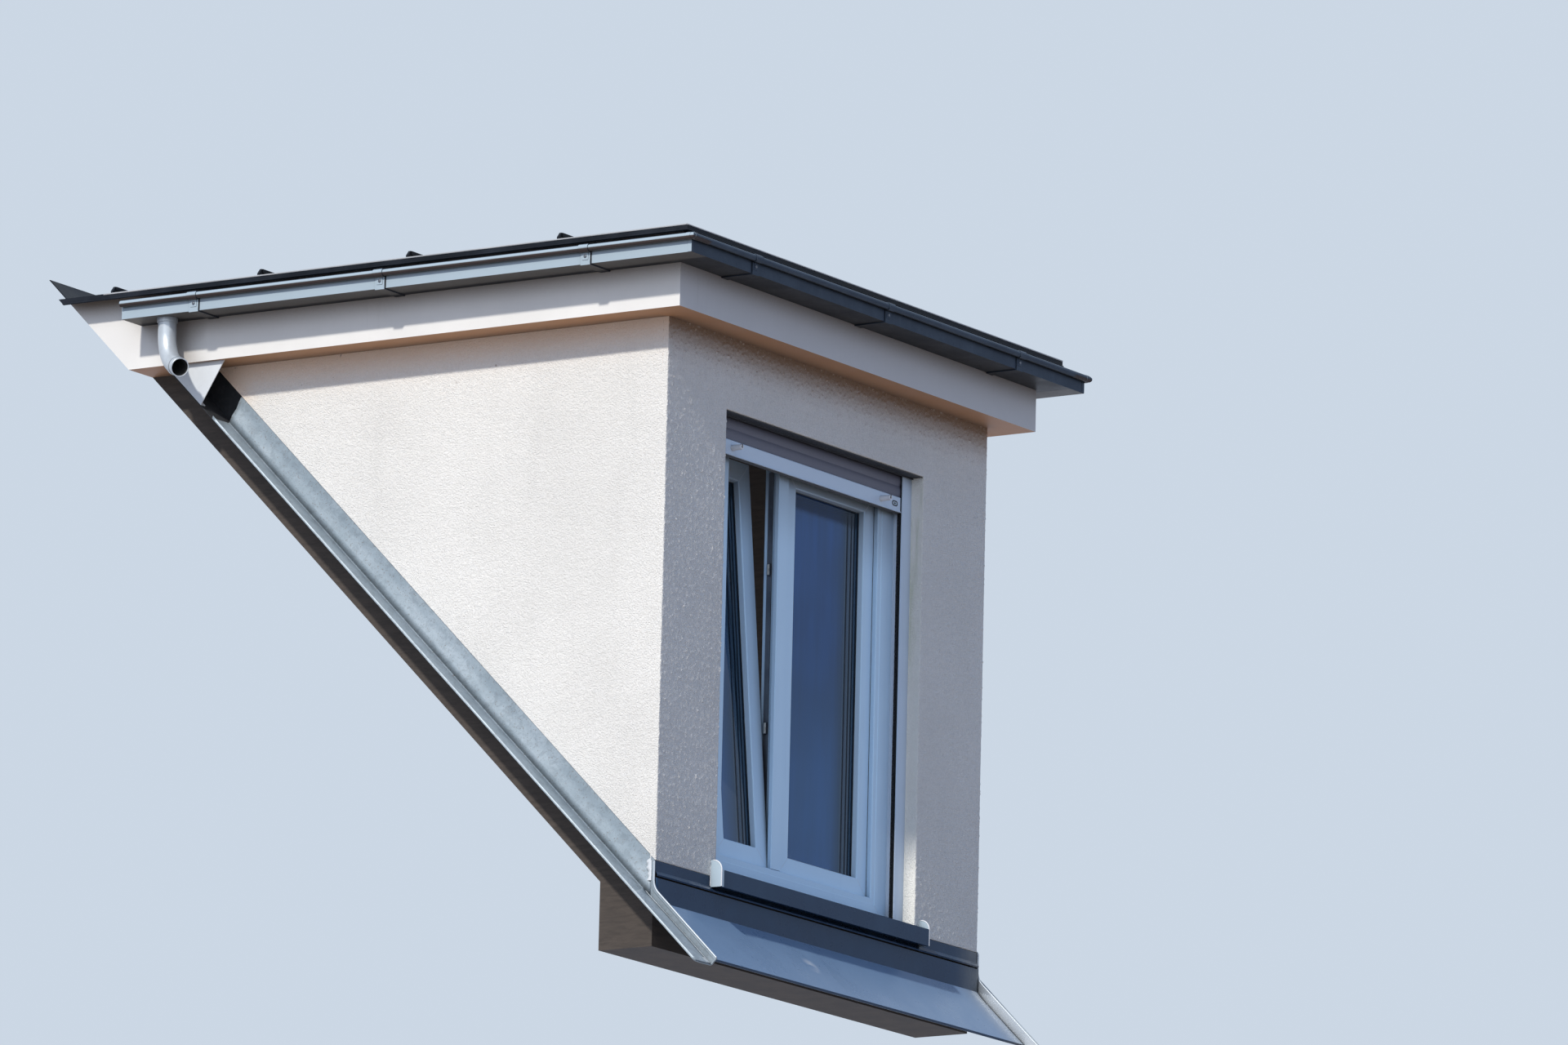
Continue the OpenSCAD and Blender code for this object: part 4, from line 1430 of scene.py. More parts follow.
@dataclass
class Gutters:
    """What the box gutters carry: joints, rivets, corner covers and a hemmed back edge."""

    palette: Palette
    front_joints: tuple[float, ...] = (-0.803, -0.012, 0.796)
    side_joints: tuple[float, ...] = (0.151, 0.939, 1.667)
    seal_width: float = 0.0035
    strap_width: float = 0.036
    strap_thick: float = 0.004
    seal_thick: float = 0.0016
    plate_inset: float = 0.007
    plate_span: Point2 = (0.012, 0.036)
    plate_thick: float = 0.0012
    rivet_up: float = 0.024
    rivet_size: Point2 = (0.0055, 0.003)
    cover: float = 0.013
    cover_thick: float = 0.0009
    sleeve_span: Point2 = (0.003, 0.020)
    sleeve_over: float = 0.0008
    back_height: float = 0.072
    end_rel: float = 1.970
    hem: tuple[Point2, ...] = (
        (0.0, 0.0), (0.0045, 0.0005), (0.0060, -0.0035), (0.0045, -0.0075), (0.0025, -0.0080),
        (0.0025, -0.0040))

    @property
    def top(self) -> float:
        """Height above the gutter bottom at which its face meets the bead."""
        return PLACE.gutter_face - 0.0085

    def build(self) -> None:
        """Makes the pieces of the gutters."""
        self.seals()
        self.rivets()
        self.corners()
        self.hems()

    def spot(self, side: Side, out: float, along: float, up: float) -> Point3:
        """Place beside the fascia on one flank.

        Args:
            side: which flank.
            out: distance out from the fascia.
            along: distance back from the render face.
            up: height above the gutter bottom.

        Returns:
            The point.
        """
        return (side.value * (PLACE.half_fascia + out), PLACE.render_face + along, PLACE.gutter_bottom + up)

    def seals(self) -> None:
        """Makes the dark sealing strips in the joints, laid round the outside of the gutter."""
        form = Form("gutter_joint_seals")
        w = PLACE.gutter_width
        line = folded([(w, self.top), (w, 0.0), (0.005, 0.0)], self.seal_thick)
        for x in self.front_joints:
            shape = [(PLACE.fascia_face - u, PLACE.gutter_bottom + v) for u, v in line]
            form.prism(shape, x, x + self.seal_width)
        for side in Side:
            for y in self.side_joints:
                y += PLACE.render_face
                form.prism(
                    [(side.value * (PLACE.half_fascia + u), PLACE.gutter_bottom + v) for u, v in line],
                    y - self.seal_width, y, Axis.Y)
        form.done(self.palette.made["seal"], "underlay")

    def rivets(self) -> None:
        """Makes the riveted clip plates on the straps."""
        form = Form("gutter_clip_plates")
        heads = Form("gutter_rivets")
        out = PLACE.gutter_width + self.strap_thick
        mid = self.strap_width / 2.0
        (low, high), inset, thick = self.plate_span, self.plate_inset, self.plate_thick
        for x in self.front_joints:
            y = PLACE.fascia_face - out
            z = PLACE.gutter_bottom
            form.box((x - self.strap_width + inset, y - thick, z + low), (x - inset, y, z + high))
            heads.rivet((x - mid, y - thick, z + self.rivet_up), (0, -1, 0), *self.rivet_size)
        for side in Side:
            for along in self.side_joints:
                a = self.spot(side, out, along + inset, low)
                b = self.spot(side, out + thick, along + self.strap_width - inset, high)
                form.box([min(p) for p in zip(a, b)], [max(p) for p in zip(a, b)])
                head = self.spot(side, out + thick, along + mid, self.rivet_up)
                heads.rivet(head, (side.value, 0, 0), *self.rivet_size)
        form.done(self.palette.made["gutter_zinc"], "gutter_zinc", bevel=0.0004)
        heads.done(self.palette.made["rivet_metal"], "bright_zinc", smooth=True)

    def corners(self) -> None:
        """Makes the cover strips on the mitred corners, and the sleeves on the bead."""
        form = Form("gutter_corner_covers")
        w, cover = PLACE.gutter_width, self.cover
        z = PLACE.gutter_bottom
        sleeve = PLACE.bead / 2.0 + self.sleeve_over
        for side in Side:
            x, y = side.value * (PLACE.half_fascia + w), PLACE.fascia_face - w
            lap = folded([(x, y + cover), (x, y), (x - side.value * cover, y)], side.value * self.cover_thick)
            form.prism(lap, z + 0.001, z + self.top, Axis.Z)
            out = w + PLACE.bead / 2.0 - 0.002
            x, y = side.value * (PLACE.half_fascia + out), PLACE.fascia_face - out
            bead = Vector((x, y, z + PLACE.gutter_face))
            for way in (Vector((0, 1, 0)), Vector((-side.value, 0, 0))):
                form.tube([bead + way * off for off in self.sleeve_span], sleeve, 28)
        form.done(self.palette.made["gutter_zinc"], "gutter_zinc", smooth=True)

    def hems(self) -> None:
        """Makes the folded hem along the gutters' back edge, on the fascia."""
        form = Form("gutter_back_hems")
        top = PLACE.gutter_bottom + self.back_height
        shape = [(PLACE.fascia_face - u, top + v) for u, v in self.hem]
        form.prism(shape, -PLACE.half_fascia, PLACE.half_fascia)
        for side in Side:
            form.prism(
                [(side.value * (PLACE.half_fascia + u), top + v) for u, v in self.hem],
                PLACE.fascia_face, PLACE.render_face + self.end_rel, Axis.Y)
        form.done(self.palette.made["gutter_zinc"], "gutter_zinc")


@dataclass
class Outlets:
    """Rolled rims, solder seams and dark inner faces of the bent outlet pipes, the inner faces painted shade.
    """

    palette: Palette
    along: float = 1.830
    radius: float = 0.030
    bend: float = 0.130
    turn: float = 70.0
    drop: float = 0.050
    end: float = 0.030
    aim: float = 31.0
    seam_steps: int = 14
    bore: float = 0.0272
    rim: float = 0.0018
    rim_back: float = 0.0012
    seam: float = 0.0012

    def on_bend(self, share: float, out: float) -> Vector:
        """Point on the bend, in the outlet's own frame.

        Args:
            share: 0 at the start of the bend, 1 at its end.
            out: distance from the middle line, towards the outside of the bend.

        Returns:
            The point.
        """
        a = math.radians(self.turn) * share
        r = self.bend + out
        return Vector((0.0, -self.bend + r * math.cos(a), -self.drop - r * math.sin(a)))

    def placed(self, side: Side, local: Vector) -> Vector:
        """Moves a point from the outlet's own frame to its flank.

        Args:
            side: which flank.
            local: the point.

        Returns:
            The point in the part's frame.
        """
        x = -PLACE.half_fascia - PLACE.gutter_width / 2.0
        start = Vector((x, PLACE.render_face + self.along, PLACE.gutter_bottom))
        spot = start + Matrix.Rotation(-math.radians(self.aim), 4, "Z") @ local
        spot.x *= -side.value
        return spot

    def build(self) -> None:
        """Makes the rims with the seams, and the dark inner faces of painted shade."""
        a = math.radians(self.turn)
        way = Vector((0.0, -math.sin(a), -math.cos(a)))
        mouth = self.on_bend(1.0, 0.0) + way * (self.end - self.rim_back)
        self.rims(mouth, way.cross(Vector((1.0, 0.0, 0.0))))
        self.painted_shade_linings(mouth)

    def rims(self, mouth: Vector, up: Vector) -> None:
        """Makes the rolled rim of each mouth and the seam on the outside of each bend.

        Args:
            mouth: middle of the mouth, in the outlet's own frame.
            up: direction square to the mouth's axis and to X.
        """
        form = Form("outlet_rims")
        across = Vector((1.0, 0.0, 0.0))
        reach = self.radius - 0.0005
        for side in Side:
            ring = [mouth + reach * (math.cos(k) * across + math.sin(k) * up) for k in turns(40)]
            form.tube([self.placed(side, spot) for spot in ring], self.rim, 8, loop=True)
            shares = [i / self.seam_steps for i in range(self.seam_steps + 1)]
            form.tube([self.placed(side, self.on_bend(share, self.radius)) for share in shares], self.seam, 6)
        form.done(self.palette.made["lit_zinc"], "bright_zinc", smooth=True)

    def painted_shade_linings(self, mouth: Vector) -> None:
        """Makes the dark inner face of each pipe, painted shade inside it.

        Args:
            mouth: middle of the mouth, in the outlet's own frame.
        """
        form = Form("outlet_inner_shades")
        for side in Side:
            rings = []
            for i in range(self.seam_steps + 1):
                share = i / self.seam_steps
                mid, top, ahead = (self.placed(side, self.on_bend(*spot)) for spot in (
                    (share, 0.0), (share, 1.0), (share + 0.01, 0.0)))
                u = (top - mid).normalized()
                rings.append(form.circle(mid, u, (ahead - mid).cross(u).normalized(), self.bore, 24))
            tip = self.placed(side, mouth) - self.placed(side, self.on_bend(1.0, 0.0))
            rings.append([form.mesh.verts.new(v.co + tip * 0.9) for v in rings[-1]])
            form.skin(rings, closed=True)
        form.done(self.palette.made["painted_pipe_shade"], "bright_zinc", smooth=True)


@dataclass
class RoofCover:
    """Locked folds on the standing seams and the rolled edge of the roof sheet, the edge light grey as a
    painted highlight.
    """

    palette: Palette
    seam_start: float = 0.320
    seam_pitch: float = 0.580
    seam_height: float = 0.025
    seam_width: float = 0.008
    seam_end: float = 0.022
    count: int = 4
    lock_out: float = 0.003
    lock_drop: float = 0.012
    lock_thick: float = 0.001
    drip_out: float = 0.062
    sheet: float = 0.004
    back: float = 2.085
    roll: float = 0.0027
    roll_in: float = 0.0006
    roll_down: float = 0.0014

    def build(self) -> None:
        """Makes the locks and the edge roll."""
        self.locks()
        self.edge()

    def locks(self) -> None:
        """Makes the fold over the top of each standing seam."""
        form = Form("seam_locks")
        top = PLACE.deck + self.sheet + self.seam_height
        half = PLACE.half_fascia + self.drip_out - self.seam_end
        out, t = self.lock_out, self.lock_thick
        for i in range(self.count):
            y = PLACE.render_face + self.seam_start + i * self.seam_pitch
            far, low = y - self.seam_width, top - self.lock_drop
            form.prism([
                (far - out, low), (far + t, low), (far + t, top - t), (y, top - t),
                (y + 0.6 * t, top - 0.4 * t), (y, top), (far - 0.8 * out, top), (far - out, top - t),
            ], -half, half)
        form.done(self.palette.made["roof_metal"], "roof_metal")

    def edge(self) -> None:
        """Makes the rolled edge round the three open sides, with a short cut across each corner, light grey as
        a painted highlight on the dark sheet.
        """
        form = Form("roof_edge_roll")
        out, cut = self.drip_out - self.roll_in, 0.001
        z = PLACE.deck + self.sheet - self.roll_down
        back = PLACE.render_face + self.back
        x, y = PLACE.half_fascia + out, PLACE.fascia_face - out
        path = ((-x, back), (-x, y + cut), (cut - x, y), (x - cut, y), (x, y + cut), (x, back))
        form.tube([Vector((*spot, z)) for spot in path], self.roll, 10)
        form.done(self.palette.made["painted_edge_highlight"], "roof_metal", smooth=True)


@dataclass
class Glazing:
    """Gaskets, spacers and weld lines of the frame and its two sashes."""

    palette: Palette
    lip: float = 0.018
    gap: float = 0.002
    lap: float = 0.008
    sash_depth: float = 0.068
    visible: float = 0.068
    pane_set: float = 0.020
    left_width: float = 0.320
    right_start: float = -0.106
    tilt: float = 4.7
    keep_face: float = -0.1535
    keep_start: float = 0.0
    keeps: tuple[float, ...] = (0.838, 1.357)
    rebate: float = 0.007
    rebate_back: float = 0.0006
    bead: float = 0.0045
    bead_over: float = 0.0015
    bead_span: Point2 = (-0.0012, 0.0004)
    spacer: float = 0.012
    spacer_under: float = 0.004
    spacer_span: Point2 = (0.006, 0.022)
    weld_half: float = 0.0003
    weld_proud: float = 0.00015

    @property
    def inner(self) -> tuple[Point2, Point2]:
        """Inner edges of the outer frame."""
        f = PLACE.frame_face
        return ((PLACE.frame_left + f, PLACE.open_foot + f), (PLACE.frame_right - f, PLACE.open_head - f))

    def left_place(self) -> Matrix:
        """Where the tilted sash stands.

        Returns:
            The matrix for points measured from the sash's own lower left corner.
        """
        (x0, z0), _ = self.inner
        pivot = Vector((x0 - self.lap, PLACE.sash_front + self.sash_depth, z0 - self.lap))
        lean = Matrix.Rotation(-math.radians(self.tilt), 4, "X")
        return Matrix.Translation(pivot) @ lean @ Matrix.Translation((0.0, -self.sash_depth, 0.0))

    def right_place(self) -> Matrix:
        """Where the closed sash stands."""
        (_, z0), _ = self.inner
        return Matrix.Translation((self.right_start, PLACE.sash_front, z0 - self.lap))

    def build(self) -> None:
        """Makes the gaskets, spacers and weld lines."""
        (_, z0), (x1, z1) = self.inner
        height = z1 - z0 + 2.0 * self.lap
        right_width = x1 + self.lap - self.right_start
        rubber, spacer, welds = Form("window_gaskets"), Form("pane_spacers"), Form("weld_lines")
        back = PLACE.frame_front + self.lip
        frame = grown(self.inner, self.rebate)
        rubber.ring(frame, self.rebate - self.rebate_back, back, back + self.gap - 0.0002)
        v = self.visible
        for place, width in ((self.left_place(), self.left_width), (self.right_place(), right_width)):
            pane = ((v, v), (width - v, height - v))
            depths = [self.pane_set + d for d in self.bead_span]
            rubber.ring(grown(pane, self.bead_over), self.bead, *depths, place)
            depths = [self.pane_set + d for d in self.spacer_span]
            spacer.ring(grown(pane, self.spacer_under), self.spacer, *depths, place)
            self.corner_lines(welds, place, (width, height), 0.008, v - 0.006)
        whole = Matrix.Translation((PLACE.frame_left, PLACE.frame_front, PLACE.open_foot))
        span = (PLACE.frame_right - PLACE.frame_left, PLACE.open_head - PLACE.open_foot)
        self.corner_lines(welds, whole, span, 0.002, PLACE.frame_face - 0.022)
        self.cams()
        rubber.done(self.palette.made["gasket"], "underlay")
        spacer.done(self.palette.made["hardware"], "hardware")
        welds.done(self.palette.made["weld"], "white_frame")

    def cams(self) -> None:
        """Makes the bright locking plates on the strip in the gap of the open sash, each with two screws."""
        form = Form("lock_cams")
        x, y, thick = self.keep_face, self.keep_start, 0.0010
        for z in self.keeps:
            form.box((x - thick, y + 0.0015, z - 0.017), (x, y + 0.0095, z + 0.017))
            form.box((x - 0.004, y + 0.003, z - 0.006), (x - thick, y + 0.006, z + 0.004))
            for up in (-0.012, 0.012):
                form.rivet((x - thick, y + 0.0055, z + up), (-1, 0, 0), 0.0022, 0.0010)
        form.done(self.palette.made["cam_metal"], "hardware", bevel=0.0003)

    def corner_lines(self, form: Form, place: Matrix, size: Point2, start: float, reach: float) -> None:
        """Adds the fine weld line at each mitred corner.

        Args:
            form: the mesh that takes them.
            place: where the member stands.
            size: width and height of the ring.
            start: distance in from the outer corner.
            reach: end of the line, in from the outer corner.
        """
        t = self.weld_half
        for fx, fz in ((0, 0), (1, 0), (1, 1), (0, 1)):
            x, z = fx * size[0], fz * size[1]
            sx, sz = 1 - 2 * fx, 1 - 2 * fz
            line = [(x + sx * (off - way * t), z + sz * (off + way * t))
                    for off, way in ((start, 1), (start, -1), (reach, -1), (reach, 1))]
            form.prism(line, -self.weld_proud, 0.001, Axis.Y, place)


@dataclass
class Shutter:
    """Key plate, seal, stop plugs and brushes of the roller shutter."""

    palette: Palette
    slat_foot: float = 1.659
    slat_height: float = 0.051
    front: float = -0.070
    key_x: float = 0.478
    key_rim: Point2 = (0.0165, 0.0090)
    key_hole: Point2 = (0.0128, 0.0056)
    stops: tuple[float, ...] = (-0.498, 0.394)
    stop_out: float = 0.0385
    groove_front: float = -0.072
    groove_back: float = -0.050
    bristle_pitch: float = 0.0024
    bristle_half: float = 0.0007
    groove_depth: float = 0.0255
    head_thick: float = 0.0012
    head_span: Point2 = (0.003, 0.0395)
    seed: int = 7

    @property
    def slat_middle(self) -> float:
        """Height of the end slat's middle line."""
        return self.slat_foot + self.slat_height / 2.0

    def build(self) -> None:
        """Makes the pieces of the shutter."""
        self.key()
        self.seal()
        self.brushes()
        self.head()

    def oval(self, half_w: float, half_h: float) -> list[Point2]:
        """Outline with round ends, in X and Z round the key hole.

        Args:
            half_w: half its width.
            half_h: half its height.

        Returns:
            The closed outline.
        """
        points = []
        for a in turns(24, 0.5):
            x = self.key_x + math.copysign(half_w - half_h, math.cos(a))
            points.append((x + half_h * math.cos(a), self.slat_middle + half_h * math.sin(a)))
        return points

    def key(self) -> None:
        """Makes the rim, the plate and the dark slot of the key hole, and the plugs in the stops."""
        rim = Form("key_hole_rim")
        y, z = self.front, self.slat_middle
        outer, inner = self.oval(*self.key_rim), self.oval(*self.key_hole)
        for i in range(len(outer)):
            j = (i + 1) % len(outer)
            rim.prism([outer[i], outer[j], inner[j], inner[i]], y - 0.0012, y + 0.0004, Axis.Y)
        rim.done(self.palette.made["gasket"], "hardware")
        plate = Form("key_hole_plate")
        plate.prism(inner, y - 0.0004, y + 0.0058, Axis.Y)
        plate.done(self.palette.made["cap_metal"], "shutter_white")
        plug = Form("key_hole_plug")
        plug.box((self.key_x - 0.0045, y - 0.0008, z - 0.0022), (self.key_x + 0.0045, y + 0.002, z + 0.0022))
        tip = y - self.stop_out
        for x in self.stops:
            plug.turned([(0.0036, 0.0), (0.0036, 0.0090)], (x, tip + 0.0015, z), (0, 1, 0))
            plug.box((x - 0.0022, tip - 0.0003, z + 0.0030), (x + 0.0022, tip + 0.0085, z + 0.0090))
        plug.done(self.palette.made["gasket"], "underlay")

    def seal(self) -> None:
        """Makes the rubber lip under the end slat."""
        form = Form("shutter_seals")
        y, z = self.front, self.slat_foot
        lip = [(y + 0.003, z), (y + 0.012, z), (y + 0.010, z - 0.004), (y + 0.0075, z - 0.0065),
               (y + 0.005, z - 0.004)]
        form.prism(lip, PLACE.frame_left + 0.008, PLACE.frame_right - 0.008)
        form.done(self.palette.made["gasket"], "underlay")

    def head(self) -> None:
        """Makes the dark profile under the lintel, with a drip nose, in front of the curtain."""
        form = Form("head_profile")
        t = self.head_thick
        z = PLACE.open_head - t
        front, back = (PLACE.render_face + off for off in self.head_span)
        line = [(front, z), (front, z - 0.0030), (front + t, z - 0.0030), (front + t, z - t),
                (back - t, z - t), (back - t, z - 0.0060), (back, z - 0.0060), (back, z)]
        form.prism(line, PLACE.open_left + 0.0015, PLACE.open_right - 0.0015)
        form.done(self.palette.made["gasket"], "underlay")

    def brushes(self) -> None:
        """Makes the bristles in both guide rails, one by one, and a dark plate at the bottom of the groove as
        painted shade.
        """
        form = Form("guide_brushes")
        draw = random.Random(self.seed)
        w = self.bristle_half
        top = PLACE.open_head - 0.004
        for sign, edge in ((1, PLACE.frame_right), (-1, PLACE.frame_left)):
            z = PLACE.open_foot + 0.022
            x = sorted((edge + sign * self.groove_depth, edge + sign * (self.groove_depth - 0.001)))
            # painted shade: dark plate at the bottom of the groove
            form.box((x[0], self.groove_front, z), (x[1], self.groove_back, top))
            while z < top:
                z += self.bristle_pitch
                lean = draw.uniform(-0.0012, 0.0012)
                reach = draw.uniform(0.0078, 0.0088)
                for y, way in ((self.groove_front + 0.0012, 1), (self.groove_back + 0.0002, -1)):
                    x = edge + sign * draw.uniform(0.0030, 0.0070)
                    near, far = sorted((y, y + way * reach))
                    form.box((x - w, near, z + lean - w), (x + w, far, z + lean + w))
        form.done(self.palette.made["brush"], "shutter_gray")


@dataclass
class SillDetail:
    """End caps, sealant and back edge of the window sill."""

    palette: Palette
    out: float = 0.040
    top: float = 0.288
    foot: float = 0.233
    shoulder: float = 0.032
    side: float = 0.028
    cap: float = 0.003
    fold: float = 0.014
    rim: float = 0.0021
    bead: float = 0.0018
    back_bead: float = 0.0030

    def build(self) -> None:
        """Makes the pieces of the sill."""
        self.caps()
        self.sealant()

    def outline(self, front: float) -> list[Point2]:
        """Outline of a cap plate in Y and Z, with its rounded upper front.

        Args:
            front: how far the plate stands out from the render.

        Returns:
            The closed outline.
        """
        face, r = PLACE.render_face, self.shoulder
        quarter = [math.radians(90.0 + 90.0 * k / 12) for k in range(13)]
        arch = [(face + r - front + r * math.cos(a), self.top + r * math.sin(a)) for a in quarter]
        return [(face, self.foot), (face, self.top + r), *arch, (face - front, self.foot)]

    def caps(self) -> None:
        """Makes the two end caps: the left one folded round the front, both with a rim on the inside."""
        for side, edge, front in (
            (Side.LEFT, PLACE.open_left - self.side, self.out + self.cap),
            (Side.RIGHT, PLACE.open_right + self.side, self.out),
        ):
            name = f"sill_cap_{side.name.lower()}"
            form = Form(f"{name}_sheet")
            x = sorted((edge, edge + side.value * self.cap))
            form.prism(self.outline(front), *x)
            if side is Side.LEFT:
                form.box((x[0], PLACE.render_face - front, self.foot),
                         (x[0] + self.fold, PLACE.render_face - self.out, self.top))
            form.done(self.palette.made["cap_metal"], "white_trim", (name,), bevel=0.0005)
            rim = Form(f"{name}_rim")
            mid = edge + side.value * self.cap / 2
            line = [Vector((mid, y + 0.0012, z - 0.0008)) for y, z in self.outline(front)[1:]]
            rim.tube([*line[1:-1], line[-1] + Vector((0.0, 0.0, 0.002))], self.rim, 10)
            rim.done(self.palette.made["white_trim"], "white_trim", smooth=True)

    def sealant(self) -> None:
        """Makes the sealant bead behind the sill and beside its caps."""
        seal = Form("sill_sealant")
        face = PLACE.render_face
        edges = (PLACE.open_left - self.side, PLACE.open_right + self.side)
        for side, edge in zip((Side.LEFT, Side.RIGHT), edges):
            x = edge + side.value * (self.cap + 0.0008)
            bead = [Vector((x, face - 0.0006, self.foot + 0.004 + 0.080 * k / 8)) for k in range(9)]
            seal.tube(bead, self.bead, 8)
        y, z = PLACE.frame_front - 0.001, self.top + 0.0135
        ends = (PLACE.open_left + 0.002, PLACE.open_right - 0.002)
        seal.tube([Vector((x, y, z)) for x in ends], self.back_bead, 8)
        seal.done(self.palette.made["sealant"], "white_trim", smooth=True)


@dataclass
class Flashings:
    """Hand-bent sheets round the dormer's foot, with dents, laps and hems."""

    palette: Palette
    pitch: float = 45.0
    low: float = -0.215
    band_top: float = 0.209
    lift: float = 0.140
    top: float = 0.268
    face_x: float = -0.957
    foot_x: float = -0.965
    edge_x: float = -1.060
    core_x: float = -0.940
    ear_lap: float = 0.012
    ear_high: float = 0.041
    ear_bend: float = 0.060
    cut_along: float = 1.7351
    cut_fall: float = 0.3081
    half_sheet: float = 0.0015
    steps: int = 150
    dent: float = 0.0011
    lap_span: Point2 = (0.038, 0.010)
    hem: float = 0.0030
    foot_bead: float = 0.0017
    tab: Point3 = (0.020, 0.024, 0.0022)
    solder_span: Point2 = (0.205, 0.275)
    solder_start: float = 0.0100
    solder_outline: tuple[Point2, ...] = (
        (0.0090, 0.9620), (0.0100, 0.9670), (0.0150, 0.9678), (0.0200, 0.9668), (0.0250, 0.9640),
        (0.0290, 0.9600), (0.0305, 0.9550))
    apron_half: float = 0.962
    apron_top: float = 0.214
    apron_set: float = 0.006
    apron_reach: float = 0.18173
    apron_hem: Point2 = (-0.1857, -0.0557)
    apron_heights: tuple[float, ...] = (0.2125, 0.190, 0.160, 0.138)

    @property
    def incline(self) -> float:
        """Pitch of the main roof in radians."""
        return math.radians(self.pitch)

    def slope(self, along: float, lift: float) -> Point2:
        """Y and Z on a plane lifted over the main roof.

        Args:
            along: Y from the render face.
            lift: how far the plane is lifted.

        Returns:
            Y and Z in the part's frame.
        """
        return (PLACE.render_face + along, along * math.tan(self.incline) + lift)

    def low_end(self, lift: float) -> float:
        """Y from the render face at which the flashing's square lower cut meets a lifted plane."""
        return self.low * math.cos(self.incline) - lift / 2

    def high_end(self, lift: float) -> float:
        """Y from the render face at which the flashing's leaning upper cut meets a lifted plane."""
        return self.cut_along - self.cut_fall * lift

    def build(self) -> None:
        """Makes the flashings."""
        for side in Side:
            self.side_sheet(side)
            self.lap_sheet(side)
            self.ear_lines(side)
            self.solder(side)
        self.apron()

    def side_sheet(self, side: Side) -> None:
        """Makes the side flashing of one flank.

        Args:
            side: which flank.
        """
        name = f"side_flashing_{side.name.lower()}"
        form = Form(f"{name}_sheet")
        half = self.half_sheet
        upper = [(self.core_x, self.top - half), (self.face_x + half, self.top - half),
                 (self.face_x + half, (self.top + self.band_top) / 2), (self.face_x + half, self.band_top),
                 (self.foot_x + half * 0.7, (self.band_top * 1.2 + self.lift) / 2.2),
                 (self.foot_x + half * 0.3, self.lift + 0.004)]
        lower = [(self.foot_x + half * 0.3, self.lift + 0.004), (self.foot_x - 0.004, self.lift - half),
                 *((self.foot_x + (self.edge_x - self.foot_x) * k / 6, self.lift - half) for k in range(1, 6)),
                 (self.edge_x + half, self.lift - half), (self.edge_x + half, self.lift + 0.011 - half)]
        for profile, flat in ((upper, False), (lower, True)):
            rings = []
            for k in range(self.steps + 1):
                ring = []
                for i, (x, lift) in enumerate(profile):
                    start = self.low_end(lift) if flat else self.ear_lap
                    along = start + (self.high_end(lift) - start) * k / self.steps
                    y, z = self.slope(along, lift)
                    off = ripple((x * 3.0, along, lift * 3.0), 7.0, self.dent, side.value * 3.0)
                    off += ripple((x, along, lift), 31.0, self.dent * 0.3, side.value)
                    if flat:
                        off *= 1.0 if 1 < i < len(profile) - 2 else 0.2
                        y, z = y - off, z + off
                    else:
                        x += off * (1.0 if 1 < i < len(profile) - 1 else 0.15)
                    ring.append(form.mesh.verts.new((-side.value * x, y, z)))
                rings.append(ring)
            form.skin(rings, closed=False)
        form.done(self.palette.made["bright_zinc"], "bright_zinc", (name,), smooth=True, thick=0.003)

    def lap_sheet(self, side: Side) -> None:
        """Makes the short sheet on the flange beside the ear, with its cross seam.

        Args:
            side: which flank.
        """
        form = Form(f"flange_lap_{side.name.lower()}")
        count = 40
        inner, outer = self.foot_x - 0.0035, self.edge_x + 0.003
        low = self.low_end(self.lift)
        near, far = self.lap_span
        rings = []
        for k in range(count + 1):
            ring = []
            for i in range(6):
                x = inner + (outer - inner) * i / 5
                end = near + (far - near) * i / 5
                along = low + (end - low) * k / count
                lift = self.lift + 0.0032 + (0.0016 if k > count - 2 else 0.0)
                y, z = self.slope(along, lift + ripple((x, along, 0.0), 17.0, 0.0010, 5.0))
                ring.append(form.mesh.verts.new((-side.value * x, y, z)))
            rings.append(ring)
        form.skin(rings, closed=False)
        form.done(self.palette.made["bright_zinc"], "bright_zinc", smooth=True, thick=0.0012)

    def ear_lines(self, side: Side) -> None:
        """Makes the rounded hem on the ear, the bead along its foot and the tab at its low end, in a lighter
        zinc as painted highlight.

        Args:
            side: which flank.
        """
        form = Form(f"ear_hem_{side.name.lower()}")
        rise, bend = self.lift + self.ear_high, self.ear_bend
        mid = (-bend, rise - bend + bend * math.sqrt(2.0))
        arc = [-self.incline * k / 10 for k in range(11)]
        line = [(0.0, self.top - 0.002)]
        line.extend((mid[0] + bend * math.cos(a), mid[1] + bend * math.sin(a)) for a in arc)
        tip = self.low_end(rise) + 0.002
        line.append((tip, tip + rise))
        x = -side.value * (self.foot_x - 0.0012)
        form.tube([Vector((x, PLACE.render_face + y, z)) for y, z in line], self.hem)
        foot, lift = self.low_end(self.lift), self.lift + self.hem
        x = -side.value * (self.foot_x - self.hem)
        form.tube([Vector((x, *self.slope(y, lift))) for y in (foot + 0.002, 0.036)], self.foot_bead, 10)
        place = Matrix.Translation(Vector((x, *self.slope(foot + 0.003, lift))))
        wide, long, thick = self.tab
        near, far = sorted((0.0, side.value * wide))
        form.box((near, 0.0, 0.0), (far, long, thick), place @ Matrix.Rotation(self.incline, 4, "X"))
        # painted highlight: lighter zinc for the hem, bead and tab
        form.done(self.palette.made["painted_hem_highlight"], "bright_zinc", smooth=True)

